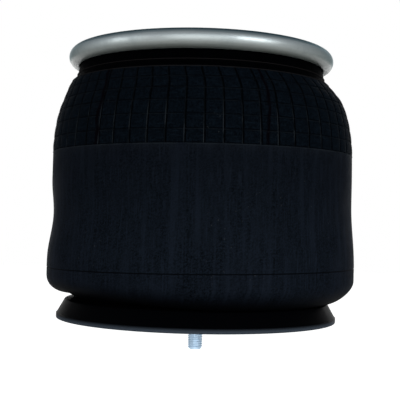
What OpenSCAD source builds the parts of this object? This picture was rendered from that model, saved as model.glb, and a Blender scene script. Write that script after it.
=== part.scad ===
// Rolling-lobe air spring: a rubber bellows crimped to a steel bead plate at the
// top, rolling down over a moulded piston, with a bump stop and a mounting stud.
// It stands collapsed on its bump stop. The origin is the centre of the piston's
// base face, and +Z runs up the axis towards the bead plate.

/* [Overall] */
// Height from the base face to the top of the bead plate, on the bump stop
collapsed_h = 230; // [224:1:240]
// Travel of the bead plate from the bump stop to full height
stroke = 170; // [130:5:175]

/* [Bead plate] */
// Outer diameter of the rolled rim
bead_plate_d = 229; // [222:1:236]
// Thickness of the pressed steel
plate_t = 2.8; // [2:0.1:3.2]
// Height of the rolled rim
rim_h = 15.5; // [14:0.5:18]
// Distance between the two blind nuts
blind_nut_spacing = 157.5; // [140:0.5:165]
// Wall diameter of a blind nut's threaded hole
blind_nut_bore_d = 10.7; // [8:0.1:12]
// Depth of a blind nut's threaded hole
blind_nut_depth = 16; // [12:1:22]
// Wall thickness around and below a blind nut's hole
blind_nut_wall = 4; // [3:0.5:5]
// Rounding of a blind nut's closed end
blind_nut_round = 2; // [1:0.5:3]
// Distance from the axis to the air port
port_offset = 73; // [66:1:78]
// Wall diameter of the air port's threaded hole
port_bore_d = 11.1; // [8:0.1:13]
// Height of the port's boss below the plate
port_boss_h = 15; // [10:1:20]
// Wall thickness of the port's boss
port_wall = 5.5; // [4:0.5:7]
// Rounding of the boss's lower end
port_round = 1; // [0.5:0.5:2]
// Width of the welding flange on the nuts and on the port's boss
weld_flange_w = 3.5; // [2:0.5:4.5]
// Thickness of that flange
weld_flange_t = 3; // [2:0.5:4]
// Rounding of the flange's lower edge
weld_edge_round = 0.6; // [0.4:0.1:1]
// Fillet between the flange and the body
weld_fillet = 0.8; // [0.5:0.1:1.5]

/* [Bellows] */
// Outer diameter of the bellows at the seam
bellows_d = 256; // [250:1:262]
// Thickness of the rubber wall
wall_t = 6.5; // [5.5:0.1:7]
// Height of the seam between the ribbed shoulder and the smooth wall
seam_z = 144; // [138:1:150]
// Width of the rounded shoulder above the seam
shoulder_w = 40; // [34:1:48]
// Height of the straight neck under the rolled rim
neck_band_h = 10; // [6:1:14]
// Spread of the neck over that height
neck_spread = 2.5; // [1:0.5:4]
// How far the wall swells out above the rolling lobe
lobe_bulge = 2.5; // [1:0.5:4]
// Height over which it swells
bulge_h = 55; // [40:5:60]
// Height of the moulded groove above the lobe's centre
groove_h = 9; // [6:1:14]
// Diameter of the steel wire in each bead
bead_wire_d = 3.6; // [2.6:0.2:4.2]
// Diameter of the lower bead
lower_bead_d = 10; // [9:0.5:12]

/* [Piston] */
// Diameter of the wall that the lobe rolls on
piston_d = 183; // [176:1:190]
// Diameter of the base flange
base_d = 240; // [236:1:248]
// Height of the upright lip around the base
lip_h = 4.5; // [3:0.5:6]
// Step from the lip to the foot of the flare
lip_step = 0.6; // [0.4:0.1:1.5]
// Rounding of the lip's upper edge
lip_round = 0.5; // [0.3:0.1:0.5]
// Rounding of the base's lower edge
foot_round = 0.8; // [0.5:0.1:1.5]
// Height of the crest where the lobe rests
seat_z = 16.3; // [14:0.1:20]
// Width of the crest outside the lobe's lowest line
crest_w = 1.5; // [1.2:0.1:2]
// Rounding of the crest
crest_round = 2; // [1:0.1:2.2]
// Thickness of the moulded wall
piston_t = 5; // [4:0.5:6]
// Thickness of the top deck
deck_t = 6; // [5:0.5:8]
// Rounding where the wall meets the deck
deck_round = 12; // [8:1:16]
// Length of rubber still on the wall at full height
leg_reserve = 29; // [26:1:36]
// Number of ribs under the deck
rib_count = 8; // [6:1:10]
// Thickness of each rib
rib_t = 4.5; // [3:0.5:6]
// Thickness of the hub's wall
hub_wall = 6; // [4:0.5:8]
// Thickness of its foot around and above the nut's recess
hub_foot_wall = 5; // [4:0.5:7]
// Flat under the crest, inside the rounding below the lobe's seat
seat_land_w = 1; // [0.5:0.5:3]

/* [Bump stop] */
// Radius of the dome that meets the plate
crown_r = 80; // [70:1:100]
// Diameter of the bump stop's body
bumper_d = 80; // [70:1:88]
// Diameter of its foot
bumper_foot_d = 96; // [90:1:104]
// Thickness of its foot
bumper_foot_h = 10; // [9:0.5:14]
// Fillet above the foot and rounding of its edge
foot_fillet = 3; // [2:0.5:3.5]
// Depth of the waist in its side
waist_depth = 6; // [3:0.5:8]
// Radius of that waist
waist_r = 24; // [18:1:26]
// Rounding of the dome's edge
crown_round = 8; // [5:0.5:10]
// Diameter of the steel disc bonded into the foot
insert_d = 72; // [60:1:80]
// Thickness of that disc
insert_t = 3; // [2.5:0.5:4]
// Height of the threaded boss above the disc
insert_boss_h = 19; // [14:1:24]
// Thickness of that boss's wall
insert_boss_wall = 5; // [4:0.5:7]
// Room left past the stud's tip in the boss
tip_room = 2; // [1:0.5:3]

/* [Closure plate] */
// Thickness of the closure plate
closure_t = 3; // [2:0.5:3.5]
// Fillet between the plate and its upright wall
closure_fillet = 1.5; // [1:0.5:2]
// Radius of the circle that the lower bead lies on
lower_bead_r = 71; // [66:0.5:72]
// How far the plate's edge wraps over the bead, in degrees from level
wrap_angle = 30; // [20:5:50]

/* [Centre stud] */
// Diameter of the stud
stud_d = 12.7; // [10:0.1:14]
// Length of stud below the base face
stud_length = 27; // [20:1:40]
// Chamfer at each end of the stud
stud_chamfer = 1.6; // [0.8:0.1:2]
// Depth of the thread's pitch line, on which the nut bears
pitch_line_depth = 0.64; // [0.5:0.01:0.8]
// Thread engaged in the bump stop's insert
stud_engagement = 16; // [10:1:18]
// Diameter of the collar that clamps the closure plate
collar_d = 27; // [25:0.5:32]
// Thickness of that collar
collar_h = 5; // [4:0.5:7]
// Thickness of the sealing ring under the collar
seal_t = 2.6; // [2:0.1:2.8]
// Land between the stud and the sealing ring's groove
seal_land = 0.2; // [0.1:0.1:0.5]
// Outer diameter of the spacer tube in the hub
spacer_d = 20; // [18:0.5:24]
// Width across the flats of the nut
nut_af = 19; // [17:0.5:22]
// Height of the nut
nut_h = 11.1; // [8:0.1:13]
// Diameter of the flat washer
washer_d = 27; // [24:0.5:34]
// Thickness of the flat washer
washer_t = 2.4; // [1.6:0.1:3]
// Diameter of the split washer
lock_washer_d = 21.5; // [20:0.5:23]
// Thickness of the split washer
lock_washer_t = 3.2; // [2.4:0.1:4]
// Width of the slot in the split washer
lock_washer_slot = 2; // [1:0.5:3]
// Depth of the recess beyond the nut
recess_margin = 2.3; // [1.5:0.1:5]
// Room for a socket between the washer and the recess's wall
socket_room = 5.5; // [4:0.5:8]

/* [Fits] */
// Gap where rubber lies beside a rigid piece
rubber_gap = 0.4; // [0.3:0.05:0.6]
// Gap around a pressed, bonded or embedded piece
bond_gap = 0.05; // [0.05:0.01:0.1]
// Gap around the stud in plain holes
stud_gap = 0.25; // [0.1:0.05:0.5]
// Gap between the bump stop's dome and the plate
crown_gap = 0.5; // [0.4:0.1:2]

/* [Hidden] */
$fn = 96;
eps = 0.01;
through = 1;

steel = [0.62, 0.66, 0.68];
plated = [0.50, 0.58, 0.66];
rubber = [0.07, 0.08, 0.10];
nylon = [0.13, 0.15, 0.17];

// Bead plate
plate_r = bead_plate_d / 2;
plate_z = collapsed_h - plate_t;
curl_r = rim_h / 2;
curl_x = plate_r - curl_r;
curl_z = collapsed_h - curl_r;
rim_z = collapsed_h - rim_h;
upper_bead_d = 2 * (curl_r - plate_t - rubber_gap);

// Bellows wall and rolling lobe
bellows_r = bellows_d / 2;
wall_r = piston_d / 2;
leg_r = wall_r + rubber_gap;
lobe_r = (bellows_r + lobe_bulge - leg_r) / 2;
lobe_x = leg_r + lobe_r;
lobe_z = seat_z + rubber_gap + lobe_r;
groove_z = lobe_z + groove_h;
neck_r = curl_x - plate_t / 2 - rubber_gap;
join_r = neck_r + neck_spread;
join_z = rim_z - neck_band_h;
join_angle = acos((join_r - bellows_r + shoulder_w) / shoulder_w);
shoulder_h = (join_z - seam_z) / sin(join_angle);
shoulder_steps = 14;
bulge_steps = 10;

// Piston
base_r = base_d / 2;
seat_r = lobe_r + rubber_gap;
crest_r = lobe_x + crest_w;
flare_foot_r = base_r - lip_step;
flare_slope = (flare_foot_r - crest_r) / (seat_z - lip_h);
deck_z = lobe_z + stroke / 2 + leg_reserve;
deck_under_z = deck_z - deck_t;
hollow_r = wall_r - piston_t;
hollow_z = seat_z - piston_t;
hollow_foot_r = base_r - piston_t;
hollow_crest_r = crest_r + flare_slope * piston_t - piston_t * norm([1, flare_slope]);
hollow_round = hollow_crest_r - hollow_r - seat_land_w;
rib_sink = piston_t / 2;
bead_z = deck_z + rubber_gap + lower_bead_d / 2;

// Centre column
stud_r = stud_d / 2;
spacer_r = spacer_d / 2;
spacer_bore_r = stud_r + stud_gap;
recess_h = washer_t + lock_washer_t + nut_h + recess_margin;
recess_r = washer_d / 2 + socket_room;
hub_r = spacer_r + hub_wall;
hub_foot_r = recess_r + hub_foot_wall;
hub_foot_z = recess_h + hub_foot_wall;
hub_neck_z = hub_foot_z + hub_foot_r - hub_r;
closure_z = deck_z + closure_t;
collar_r = collar_d / 2;
insert_z = closure_z + collar_h;
insert_boss_r = stud_r + insert_boss_wall;
stud_top_z = insert_z + stud_engagement;
stud_low_z = -stud_length;
seal_r = stud_r + seal_land + seal_t;
nut_z = recess_margin;
pitch_line_r = stud_r - pitch_line_depth;

// Bump stop: the dome's centre is the point that the plate tilts about
pivot_z = plate_z - crown_gap - crown_r;
crown_edge_z = pivot_z + sqrt(crown_r * crown_r - bumper_d * bumper_d / 4);
waist_z = (closure_z + bumper_foot_h + crown_edge_z) / 2;

// Outlines

function unit(v) = v / norm(v);

// A point of the shoulder's curve, moved inwards by depth, at an angle from the seam
function shoulder_point(angle, depth) =
    [bellows_r - shoulder_w + shoulder_w * cos(angle), seam_z + shoulder_h * sin(angle)]
    - depth * unit([cos(angle) / shoulder_w, sin(angle) / shoulder_h]);

// Radius of the smooth wall, a share of the way down its swelling
function bulge_radius(share) = bellows_r + lobe_bulge * (1 - cos(180 * share)) / 2;

// Sliver between a corner and the arc that rounds it
module corner_sliver(before, corner, after, radius) {
    u = unit(before - corner);
    v = unit(after - corner);
    half = acos(u * v) / 2;
    reach = radius / tan(half);
    difference() {
        polygon([corner, corner + u * reach, corner + v * reach]);
        translate(corner + unit(u + v) * radius / sin(half)) circle(r = radius);
    }
}

// Outline with rounded corners: a radius above 0 rounds an outer corner, and one
// below 0 fills an inner corner
module rounded(points, radii) {
    n = len(points);
    difference() {
        union() {
            polygon(points);
            for (i = [0:n - 1])
                if (radii[i] < 0)
                    corner_sliver(points[(i + n - 1) % n], points[i], points[(i + 1) % n], -radii[i]);
        }
        for (i = [0:n - 1])
            if (radii[i] > 0)
                corner_sliver(points[(i + n - 1) % n], points[i], points[(i + 1) % n], radii[i]);
    }
}

// Ring of round wire
module wire_ring(ring_r, z, wire_d) {
    rotate_extrude() translate([ring_r, z]) circle(d = wire_d);
}

// Tube along Z
module tube(outer_r, inner_r, z, h) {
    translate([0, 0, z]) difference() {
        cylinder(r = outer_r, h = h);
        translate([0, 0, -through]) cylinder(r = inner_r, h = h + 2 * through);
    }
}

// Bead plate and what is welded to it

// Flat plate, its edge rolled round the bead, and the rounded end of the roll
module bead_plate_section() {
    translate([0, plate_z]) square([curl_x, plate_t]);
    difference() {
        translate([curl_x, curl_z]) circle(r = curl_r);
        translate([curl_x, curl_z]) circle(r = curl_r - plate_t);
        translate([0, rim_z - through]) square([curl_x, rim_h + 2 * through]);
    }
    translate([curl_x, rim_z + plate_t / 2]) circle(d = plate_t);
}

module bead_plate() {
    color(steel) difference() {
        rotate_extrude() bead_plate_section();
        for (side = [-1, 1])
            translate([side * blind_nut_spacing / 2, 0, plate_z - through])
                cylinder(r = blind_nut_spigot_r() + bond_gap, h = plate_t + 2 * through);
        translate([0, -port_offset, plate_z - through])
            cylinder(r = port_spigot_r() + bond_gap, h = plate_t + 2 * through);
    }
}

function blind_nut_spigot_r() = blind_nut_bore_d / 2 + blind_nut_wall;
function port_spigot_r() = port_bore_d / 2 + port_wall;

module upper_bead_wire() {
    color(steel) wire_ring(curl_x, curl_z, bead_wire_d);
}

// Closed nut with its spigot flush in the plate and its flange under it
module blind_nut() {
    body_r = blind_nut_spigot_r();
    end_z = collapsed_h - blind_nut_depth - blind_nut_wall;
    difference() {
        rotate_extrude() rounded(
            [[0, end_z], [body_r, end_z], [body_r, plate_z - weld_flange_t],
             [body_r + weld_flange_w, plate_z - weld_flange_t], [body_r + weld_flange_w, plate_z],
             [body_r, plate_z], [body_r, collapsed_h], [0, collapsed_h]],
            [0, blind_nut_round, -weld_fillet, weld_edge_round, 0, 0, 0, 0]);
        translate([0, 0, collapsed_h - blind_nut_depth])
            cylinder(d = blind_nut_bore_d, h = blind_nut_depth + through);
    }
}

module blind_nut_left() {
    color(plated) translate([-blind_nut_spacing / 2, 0, 0]) blind_nut();
}

module blind_nut_right() {
    color(plated) translate([blind_nut_spacing / 2, 0, 0]) blind_nut();
}

// Open boss that lets the air in
module air_port_boss() {
    body_r = port_spigot_r();
    end_z = plate_z - port_boss_h;
    color(plated) translate([0, -port_offset, 0]) difference() {
        rotate_extrude() rounded(
            [[0, end_z], [body_r, end_z], [body_r, plate_z - weld_flange_t],
             [body_r + weld_flange_w, plate_z - weld_flange_t], [body_r + weld_flange_w, plate_z],
             [body_r, plate_z], [body_r, collapsed_h], [0, collapsed_h]],
            [0, port_round, -weld_fillet, weld_edge_round, 0, 0, 0, 0]);
        translate([0, 0, end_z - through])
            cylinder(d = port_bore_d, h = port_boss_h + plate_t + 2 * through);
    }
}

// Bellows, in the zones that move apart as it rolls

// Shoulder that narrows to the neck, with the bead inside the rolled rim
module bellows_neck() {
    angles = [for (i = [0:shoulder_steps]) join_angle * i / shoulder_steps];
    outside = [for (a = angles) shoulder_point(a, 0)];
    inside = [for (i = [shoulder_steps:-1:0]) shoulder_point(angles[i], wall_t)];
    color(rubber) rotate_extrude() difference() {
        union() {
            polygon(concat(
                outside,
                [[neck_r, rim_z], [neck_r, plate_z],
                 [neck_r - wall_t, plate_z], [neck_r - wall_t, rim_z]],
                inside));
            translate([curl_x, curl_z]) circle(d = upper_bead_d);
        }
        translate([curl_x, curl_z]) circle(d = bead_wire_d + 2 * bond_gap);
    }
}

// Smooth wall from the seam down to the moulded groove
module bellows_sleeve() {
    shares = [for (i = [0:bulge_steps]) i / bulge_steps];
    swell_z = groove_z + bulge_h;
    outside = [for (s = shares) [bulge_radius(s), swell_z - bulge_h * s]];
    inside = [for (i = [bulge_steps:-1:0]) outside[i] - [wall_t, 0]];
    color(rubber) rotate_extrude() polygon(concat(
        [[bellows_r - wall_t, seam_z], [bellows_r, seam_z]], outside, inside));
}

// Half ring that rolls on the piston, with the wall up to the groove
module bellows_lobe() {
    color(rubber) rotate_extrude() {
        difference() {
            translate([lobe_x, lobe_z]) circle(r = lobe_r);
            translate([lobe_x, lobe_z]) circle(r = lobe_r - wall_t);
            translate([leg_r - through, lobe_z]) square([2 * (lobe_r + through), lobe_r + through]);
        }
        translate([lobe_x + lobe_r - wall_t, lobe_z]) square([wall_t, groove_h]);
    }
}

// Leg along the piston's wall, over its shoulder to the lower bead
module bellows_inner() {
    top_z = deck_z + rubber_gap;
    color(rubber) rotate_extrude() difference() {
        union() {
            rounded(
                [[leg_r, lobe_z], [leg_r + wall_t, lobe_z], [leg_r + wall_t, top_z + wall_t],
                 [lower_bead_r, top_z + wall_t], [lower_bead_r, top_z], [leg_r, top_z]],
                [0, 0, deck_round + rubber_gap + wall_t, 0, 0, -deck_round - rubber_gap]);
            translate([lower_bead_r, bead_z]) circle(d = lower_bead_d);
        }
        translate([lower_bead_r, bead_z]) circle(d = bead_wire_d + 2 * bond_gap);
    }
}

module lower_bead_wire() {
    color(steel) wire_ring(lower_bead_r, bead_z, bead_wire_d);
}

// Piston

// Hollow under the deck, open below, its side walls moved inwards by a gap
module piston_hollow_section(gap) {
    rounded(
        [[0, -through], [hollow_foot_r - gap, -through], [hollow_foot_r - gap, 0],
         [hollow_crest_r - gap, hollow_z], [hollow_r - gap, hollow_z],
         [hollow_r - gap, deck_under_z], [0, deck_under_z]],
        [0, 0, 0, 0, -hollow_round, deck_round - piston_t, 0]);
}

// Moulded skin: deck, wall, seat of the lobe, crest, flare and lip
module piston_section() {
    difference() {
        rounded(
            [[0, 0], [base_r, 0], [base_r, lip_h], [flare_foot_r, lip_h], [crest_r, seat_z],
             [wall_r, seat_z], [wall_r, deck_z], [0, deck_z]],
            [0, foot_round, lip_round, 0, crest_round, -seat_r, deck_round, 0]);
        piston_hollow_section(0);
    }
}

module piston() {
    color(nylon) difference() {
        rotate_extrude() piston_section();
        translate([0, 0, deck_under_z - through]) cylinder(r = hub_r, h = deck_t + 2 * through);
    }
}

// Hub around the spacer tube, wider at its foot for the nut's recess
module hub_section() {
    polygon([[0, 0], [hub_foot_r, 0], [hub_foot_r, hub_foot_z], [hub_r, hub_neck_z],
             [hub_r, deck_z], [0, deck_z]]);
}

// Hub and ribs that stiffen the skin from inside
module piston_core() {
    color(nylon) difference() {
        union() {
            rotate_extrude() hub_section();
            intersection() {
                rotate_extrude() piston_hollow_section(bond_gap);
                for (i = [0:rib_count - 1]) rotate([0, 0, 360 / rib_count * (i + 0.5)])
                    translate([hub_r - rib_sink, -rib_t / 2, 0]) cube([base_r, rib_t, deck_z]);
            }
        }
        translate([0, 0, -through]) cylinder(r = recess_r, h = recess_h + through);
        cylinder(r = spacer_r + bond_gap, h = deck_z + through);
    }
}

// Tube that carries the stud's pull past the plastic
module spacer_tube() {
    color(steel) tube(spacer_r, spacer_bore_r, recess_h, deck_z - recess_h);
}

// Steel plate that clamps the lower bead on the deck
module closure_plate() {
    wrap_r = lower_bead_d / 2 + rubber_gap;
    wall_x = lower_bead_r - wrap_r;
    wedge = 2 * (wrap_r + closure_t);
    color(steel) rotate_extrude() {
        rounded(
            [[stud_r + stud_gap, deck_z], [wall_x, deck_z], [wall_x, bead_z],
             [wall_x - closure_t, bead_z], [wall_x - closure_t, closure_z],
             [stud_r + stud_gap, closure_z]],
            [0, 0, 0, 0, -closure_fillet, 0]);
        difference() {
            translate([lower_bead_r, bead_z]) circle(r = wrap_r + closure_t);
            translate([lower_bead_r, bead_z]) circle(r = wrap_r);
            translate([wall_x - wedge, bead_z - wedge]) square([3 * wedge, wedge]);
            translate([lower_bead_r, bead_z])
                polygon([[0, -through], [wedge, -through], wedge * [1, tan(wrap_angle)]]);
        }
    }
}

// Bump stop

// Foot, waisted body and dome, with the dome's edge rounded along its tangent. The
// outline's corner stands a little above the dome, so that they share no point
module bumper_section() {
    body_r = bumper_d / 2;
    foot_r = bumper_foot_d / 2;
    foot_top_z = closure_z + bumper_foot_h;
    edge = [body_r, crown_edge_z + through];
    tangent = unit([pivot_z - crown_edge_z, body_r]);
    difference() {
        intersection() {
            translate([0, pivot_z]) circle(r = crown_r);
            rounded(
                [[0, closure_z], [foot_r, closure_z], [foot_r, foot_top_z], [body_r, foot_top_z],
                 edge, edge + body_r * tangent, [0, collapsed_h]],
                [0, 0, foot_fillet, -foot_fillet, crown_round, 0, 0]);
        }
        translate([body_r - waist_depth + waist_r, waist_z]) circle(r = waist_r);
    }
}

module bumper() {
    color(rubber) difference() {
        rotate_extrude() bumper_section();
        translate([0, 0, closure_z - through])
            cylinder(r = collar_r + bond_gap, h = collar_h + through + eps);
        translate([0, 0, insert_z]) {
            cylinder(d = insert_d + 2 * bond_gap, h = insert_t + bond_gap);
            cylinder(r = insert_boss_r + bond_gap, h = insert_t + insert_boss_h + bond_gap);
        }
    }
}

// Disc and threaded boss bonded into the bump stop
module bumper_insert() {
    color(steel) difference() {
        translate([0, 0, insert_z]) {
            cylinder(d = insert_d, h = insert_t);
            cylinder(r = insert_boss_r, h = insert_t + insert_boss_h);
        }
        translate([0, 0, insert_z - through])
            cylinder(r = stud_r + bond_gap, h = stud_engagement + tip_room + through);
    }
}

// Centre stud and its fasteners

// The nut's stretch is as thin as the thread's pitch line
module centre_stud() {
    color(plated) difference() {
        union() {
            rotate_extrude() polygon([
                [0, stud_low_z], [stud_r - stud_chamfer, stud_low_z],
                [stud_r, stud_low_z + stud_chamfer],
                [stud_r, nut_z], [pitch_line_r, nut_z], [pitch_line_r, nut_z + nut_h],
                [stud_r, nut_z + nut_h], [stud_r, stud_top_z - stud_chamfer],
                [stud_r - stud_chamfer, stud_top_z], [0, stud_top_z]]);
            translate([0, 0, closure_z]) cylinder(r = collar_r, h = collar_h);
        }
        tube(seal_r + bond_gap, seal_r - seal_t - bond_gap, closure_z - eps, seal_t + bond_gap + eps);
    }
}

// Sealing ring in the groove under the collar
module stud_seal() {
    color(rubber) wire_ring(seal_r - seal_t / 2, closure_z + seal_t / 2, seal_t);
}

module base_washer() {
    color(plated) tube(washer_d / 2, stud_r + stud_gap, recess_h - washer_t, washer_t);
}

module lock_washer() {
    low_z = recess_h - washer_t - lock_washer_t;
    color(plated) difference() {
        tube(lock_washer_d / 2, stud_r + stud_gap, low_z, lock_washer_t);
        translate([0, -lock_washer_slot / 2, low_z - through])
            cube([lock_washer_d, lock_washer_slot, lock_washer_t + 2 * through]);
    }
}

module base_nut() {
    color(plated) translate([0, 0, nut_z]) difference() {
        cylinder(r = nut_af / 2 / cos(30), h = nut_h, $fn = 6);
        translate([0, 0, -through]) cylinder(r = pitch_line_r + bond_gap, h = nut_h + 2 * through);
    }
}

bead_plate();
upper_bead_wire();
blind_nut_left();
blind_nut_right();
air_port_boss();
bellows_neck();
bellows_sleeve();
bellows_lobe();
bellows_inner();
lower_bead_wire();
piston();
piston_core();
spacer_tube();
closure_plate();
bumper();
bumper_insert();
centre_stud();
stud_seal();
base_washer();
lock_washer();
base_nut();
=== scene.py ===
"""Looks of an air suspension spring, dressed over its solid construction.

The rigid pieces keep their solid shapes and get zinc-coated steel, moulded nylon and
plain rubber. The bellows is modelled here zone by zone: a shoulder marked with the
fine grid of its mould, a smooth wall, the rolling lobe and the hidden inner leg.
The stud, the blind nuts and the air port get their threads, and the base nut its
chamfers. Everything is in metres, in the part's own frame.
"""

import logging
import math
from bisect import bisect_left
from collections.abc import Callable
from dataclasses import dataclass, field
from enum import Enum
from functools import cached_property

import bmesh
import bpy
from mathutils import Matrix, Vector, noise
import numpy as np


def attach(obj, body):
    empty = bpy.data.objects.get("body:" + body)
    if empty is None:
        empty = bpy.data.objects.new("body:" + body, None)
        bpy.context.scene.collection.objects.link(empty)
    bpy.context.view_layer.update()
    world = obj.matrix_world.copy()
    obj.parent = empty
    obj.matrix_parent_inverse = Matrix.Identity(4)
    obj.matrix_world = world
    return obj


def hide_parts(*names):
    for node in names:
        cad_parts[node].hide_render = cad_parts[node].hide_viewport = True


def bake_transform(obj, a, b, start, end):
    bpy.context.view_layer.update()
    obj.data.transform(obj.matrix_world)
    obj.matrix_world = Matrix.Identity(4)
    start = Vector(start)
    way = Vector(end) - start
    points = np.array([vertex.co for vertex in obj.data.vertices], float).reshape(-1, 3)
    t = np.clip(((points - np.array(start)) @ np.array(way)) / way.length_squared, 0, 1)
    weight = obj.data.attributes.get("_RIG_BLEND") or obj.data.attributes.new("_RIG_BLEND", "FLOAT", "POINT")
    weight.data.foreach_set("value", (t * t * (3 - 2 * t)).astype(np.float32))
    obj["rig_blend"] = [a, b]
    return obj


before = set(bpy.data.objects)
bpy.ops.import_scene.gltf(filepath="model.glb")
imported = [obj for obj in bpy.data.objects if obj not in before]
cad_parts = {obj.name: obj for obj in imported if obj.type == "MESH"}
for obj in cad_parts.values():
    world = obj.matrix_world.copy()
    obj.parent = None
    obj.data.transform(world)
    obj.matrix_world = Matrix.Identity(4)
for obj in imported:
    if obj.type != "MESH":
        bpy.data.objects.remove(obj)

LOG = logging.getLogger("air_spring")
MM = 0.001
METAL_CREASE = 30.0
MERGE_WITHIN = 0.2e-6
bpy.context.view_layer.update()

Triple = tuple[float, float, float]
Colour = Triple
Rgba = tuple[float, float, float, float]
Span = tuple[float, float]
Profile = tuple[Span, ...]
Outline = list[Vector]
Ring = tuple[Vector, float, float, float]
Socket = bpy.types.NodeSocket
WHITE: Colour = (1.0, 1.0, 1.0)
GRID_ATTRIBUTE = "mould_grid"
GRID_LAYERS = ("row_line", "meridian", "shown", "grid_column")


# Sizes that the solid construction and the looks share


@dataclass(frozen=True)
class SpringSizes:
    """Sizes of the spring in millimetres, as its construction has them."""

    height: float = 230.0
    plate_d: float = 229.0
    plate_t: float = 2.8
    rim_h: float = 15.5
    bellows_r: float = 128.0
    wall_t: float = 6.5
    seam_z: float = 144.0
    shoulder_w: float = 40.0
    neck_band_h: float = 10.0
    neck_spread: float = 2.5
    lobe_bulge: float = 2.5
    bulge_h: float = 55.0
    groove_h: float = 9.0
    piston_r: float = 91.5
    rubber_gap: float = 0.4
    seat_z: float = 16.3
    deck_z: float = 150.0
    deck_round: float = 12.0
    lower_bead_r: float = 71.0
    lower_bead_d: float = 10.0
    stud_r: float = 6.35
    stud_low_z: float = -27.0
    stud_top_z: float = 174.0
    stud_chamfer: float = 1.6
    collar_r: float = 13.5
    collar_z: float = 153.0
    collar_h: float = 5.0

    @property
    def curl_r(self) -> float:
        """Outer radius of the rolled rim's section."""
        return self.rim_h / 2

    @property
    def curl_x(self) -> float:
        """Distance from the axis to the middle of the rolled rim."""
        return self.plate_d / 2 - self.curl_r

    @property
    def curl_z(self) -> float:
        """Height of the middle of the rolled rim."""
        return self.height - self.curl_r

    @property
    def rim_z(self) -> float:
        """Height of the rolled rim's lowest line."""
        return self.height - self.rim_h

    @property
    def plate_z(self) -> float:
        """Height of the plate's underside."""
        return self.height - self.plate_t

    @property
    def leg_r(self) -> float:
        """Radius of the inner leg's face beside the piston."""
        return self.piston_r + self.rubber_gap

    @property
    def lobe_r(self) -> float:
        """Outer radius of the rolling lobe's section."""
        return (self.bellows_r + self.lobe_bulge - self.leg_r) / 2

    @property
    def lobe_x(self) -> float:
        """Distance from the axis to the middle of the lobe."""
        return self.leg_r + self.lobe_r

    @property
    def lobe_z(self) -> float:
        """Height of the middle of the lobe."""
        return self.seat_z + self.rubber_gap + self.lobe_r

    @property
    def groove_z(self) -> float:
        """Height of the moulded groove round the wall."""
        return self.lobe_z + self.groove_h

    @property
    def neck_r(self) -> float:
        """Outer radius of the neck inside the rolled rim."""
        return self.curl_x - self.plate_t / 2 - self.rubber_gap

    @property
    def join_r(self) -> float:
        """Radius where the shoulder's curve meets the neck."""
        return self.neck_r + self.neck_spread

    @property
    def join_z(self) -> float:
        """Height where the shoulder's curve meets the neck."""
        return self.rim_z - self.neck_band_h

    @property
    def join_angle(self) -> float:
        """Angle on the shoulder's ellipse at which the neck starts, in radians."""
        return math.acos((self.join_r - self.bellows_r + self.shoulder_w) / self.shoulder_w)

    @property
    def shoulder_h(self) -> float:
        """Half height of the shoulder's ellipse."""
        return (self.join_z - self.seam_z) / math.sin(self.join_angle)


SIZES = SpringSizes()


# Mesh helpers


def place(radius: float, height: float) -> Vector:
    """Point in the plane of the X axis, in metres, from millimetres."""
    return Vector((radius * MM, 0.0, height * MM))


def arc(centre: Span, radius: float, start: float, stop: float, steps: int) -> Outline:
    """Points along an arc in the plane of the X axis.

    Args:
        centre: radius and height of the arc's middle, in millimetres.
        radius: the arc's radius, in millimetres.
        start: first angle in degrees, 0 away from the axis and 90 upwards.
        stop: last angle in degrees.
        steps: number of stretches.

    Returns:
        The arc's points in metres.
    """
    angles = [math.radians(start + (stop - start) * i / steps) for i in range(steps + 1)]
    return [place(centre[0] + radius * math.cos(a), centre[1] + radius * math.sin(a))
            for a in angles]


def smooth_share(value: float, low: float, high: float) -> float:
    """Share from 0 at low to 1 at high with level ends.

    Args:
        value: the value to place.
        low: value at which the share is 0.
        high: value at which the share is 1.

    Returns:
        The share.
    """
    t = min(max((value - low) / (high - low), 0.0), 1.0)
    return t * t * (3 - 2 * t)


def spin_outline(outline: Outline, steps: int, layers: dict[str, list[float]] | None = None,
                 closed: bool = True) -> bmesh.types.BMesh:
    """Spins an outline once round the Z axis.

    Args:
        outline: points in the plane of the X axis, in metres.
        steps: number of stretches round the circle.
        layers: values for each point, kept on the vertices by name.
        closed: whether the last point joins the first.

    Returns:
        The spun mesh, merged, with its normals outwards.
    """
    mesh = bmesh.new()
    for name in layers or {}:
        mesh.verts.layers.float.new(name)
    verts = [mesh.verts.new(point) for point in outline]
    for name, values in (layers or {}).items():
        layer = mesh.verts.layers.float[name]
        for vertex, value in zip(verts, values):
            vertex[layer] = value
    ends = verts[1:] + verts[:1] if closed else verts[1:]
    edges = [mesh.edges.new(pair) for pair in zip(verts, ends)]
    bmesh.ops.spin(mesh, geom=verts + edges, cent=(0, 0, 0), axis=(0, 0, 1), dvec=(0, 0, 0),
                   angle=math.tau, steps=steps, use_merge=True, use_duplicate=False)
    bmesh.ops.remove_doubles(mesh, verts=mesh.verts[:], dist=MERGE_WITHIN)
    bmesh.ops.dissolve_degenerate(mesh, edges=mesh.edges[:], dist=MERGE_WITHIN)
    bmesh.ops.recalc_face_normals(mesh, faces=mesh.faces[:])
    return mesh


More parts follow.
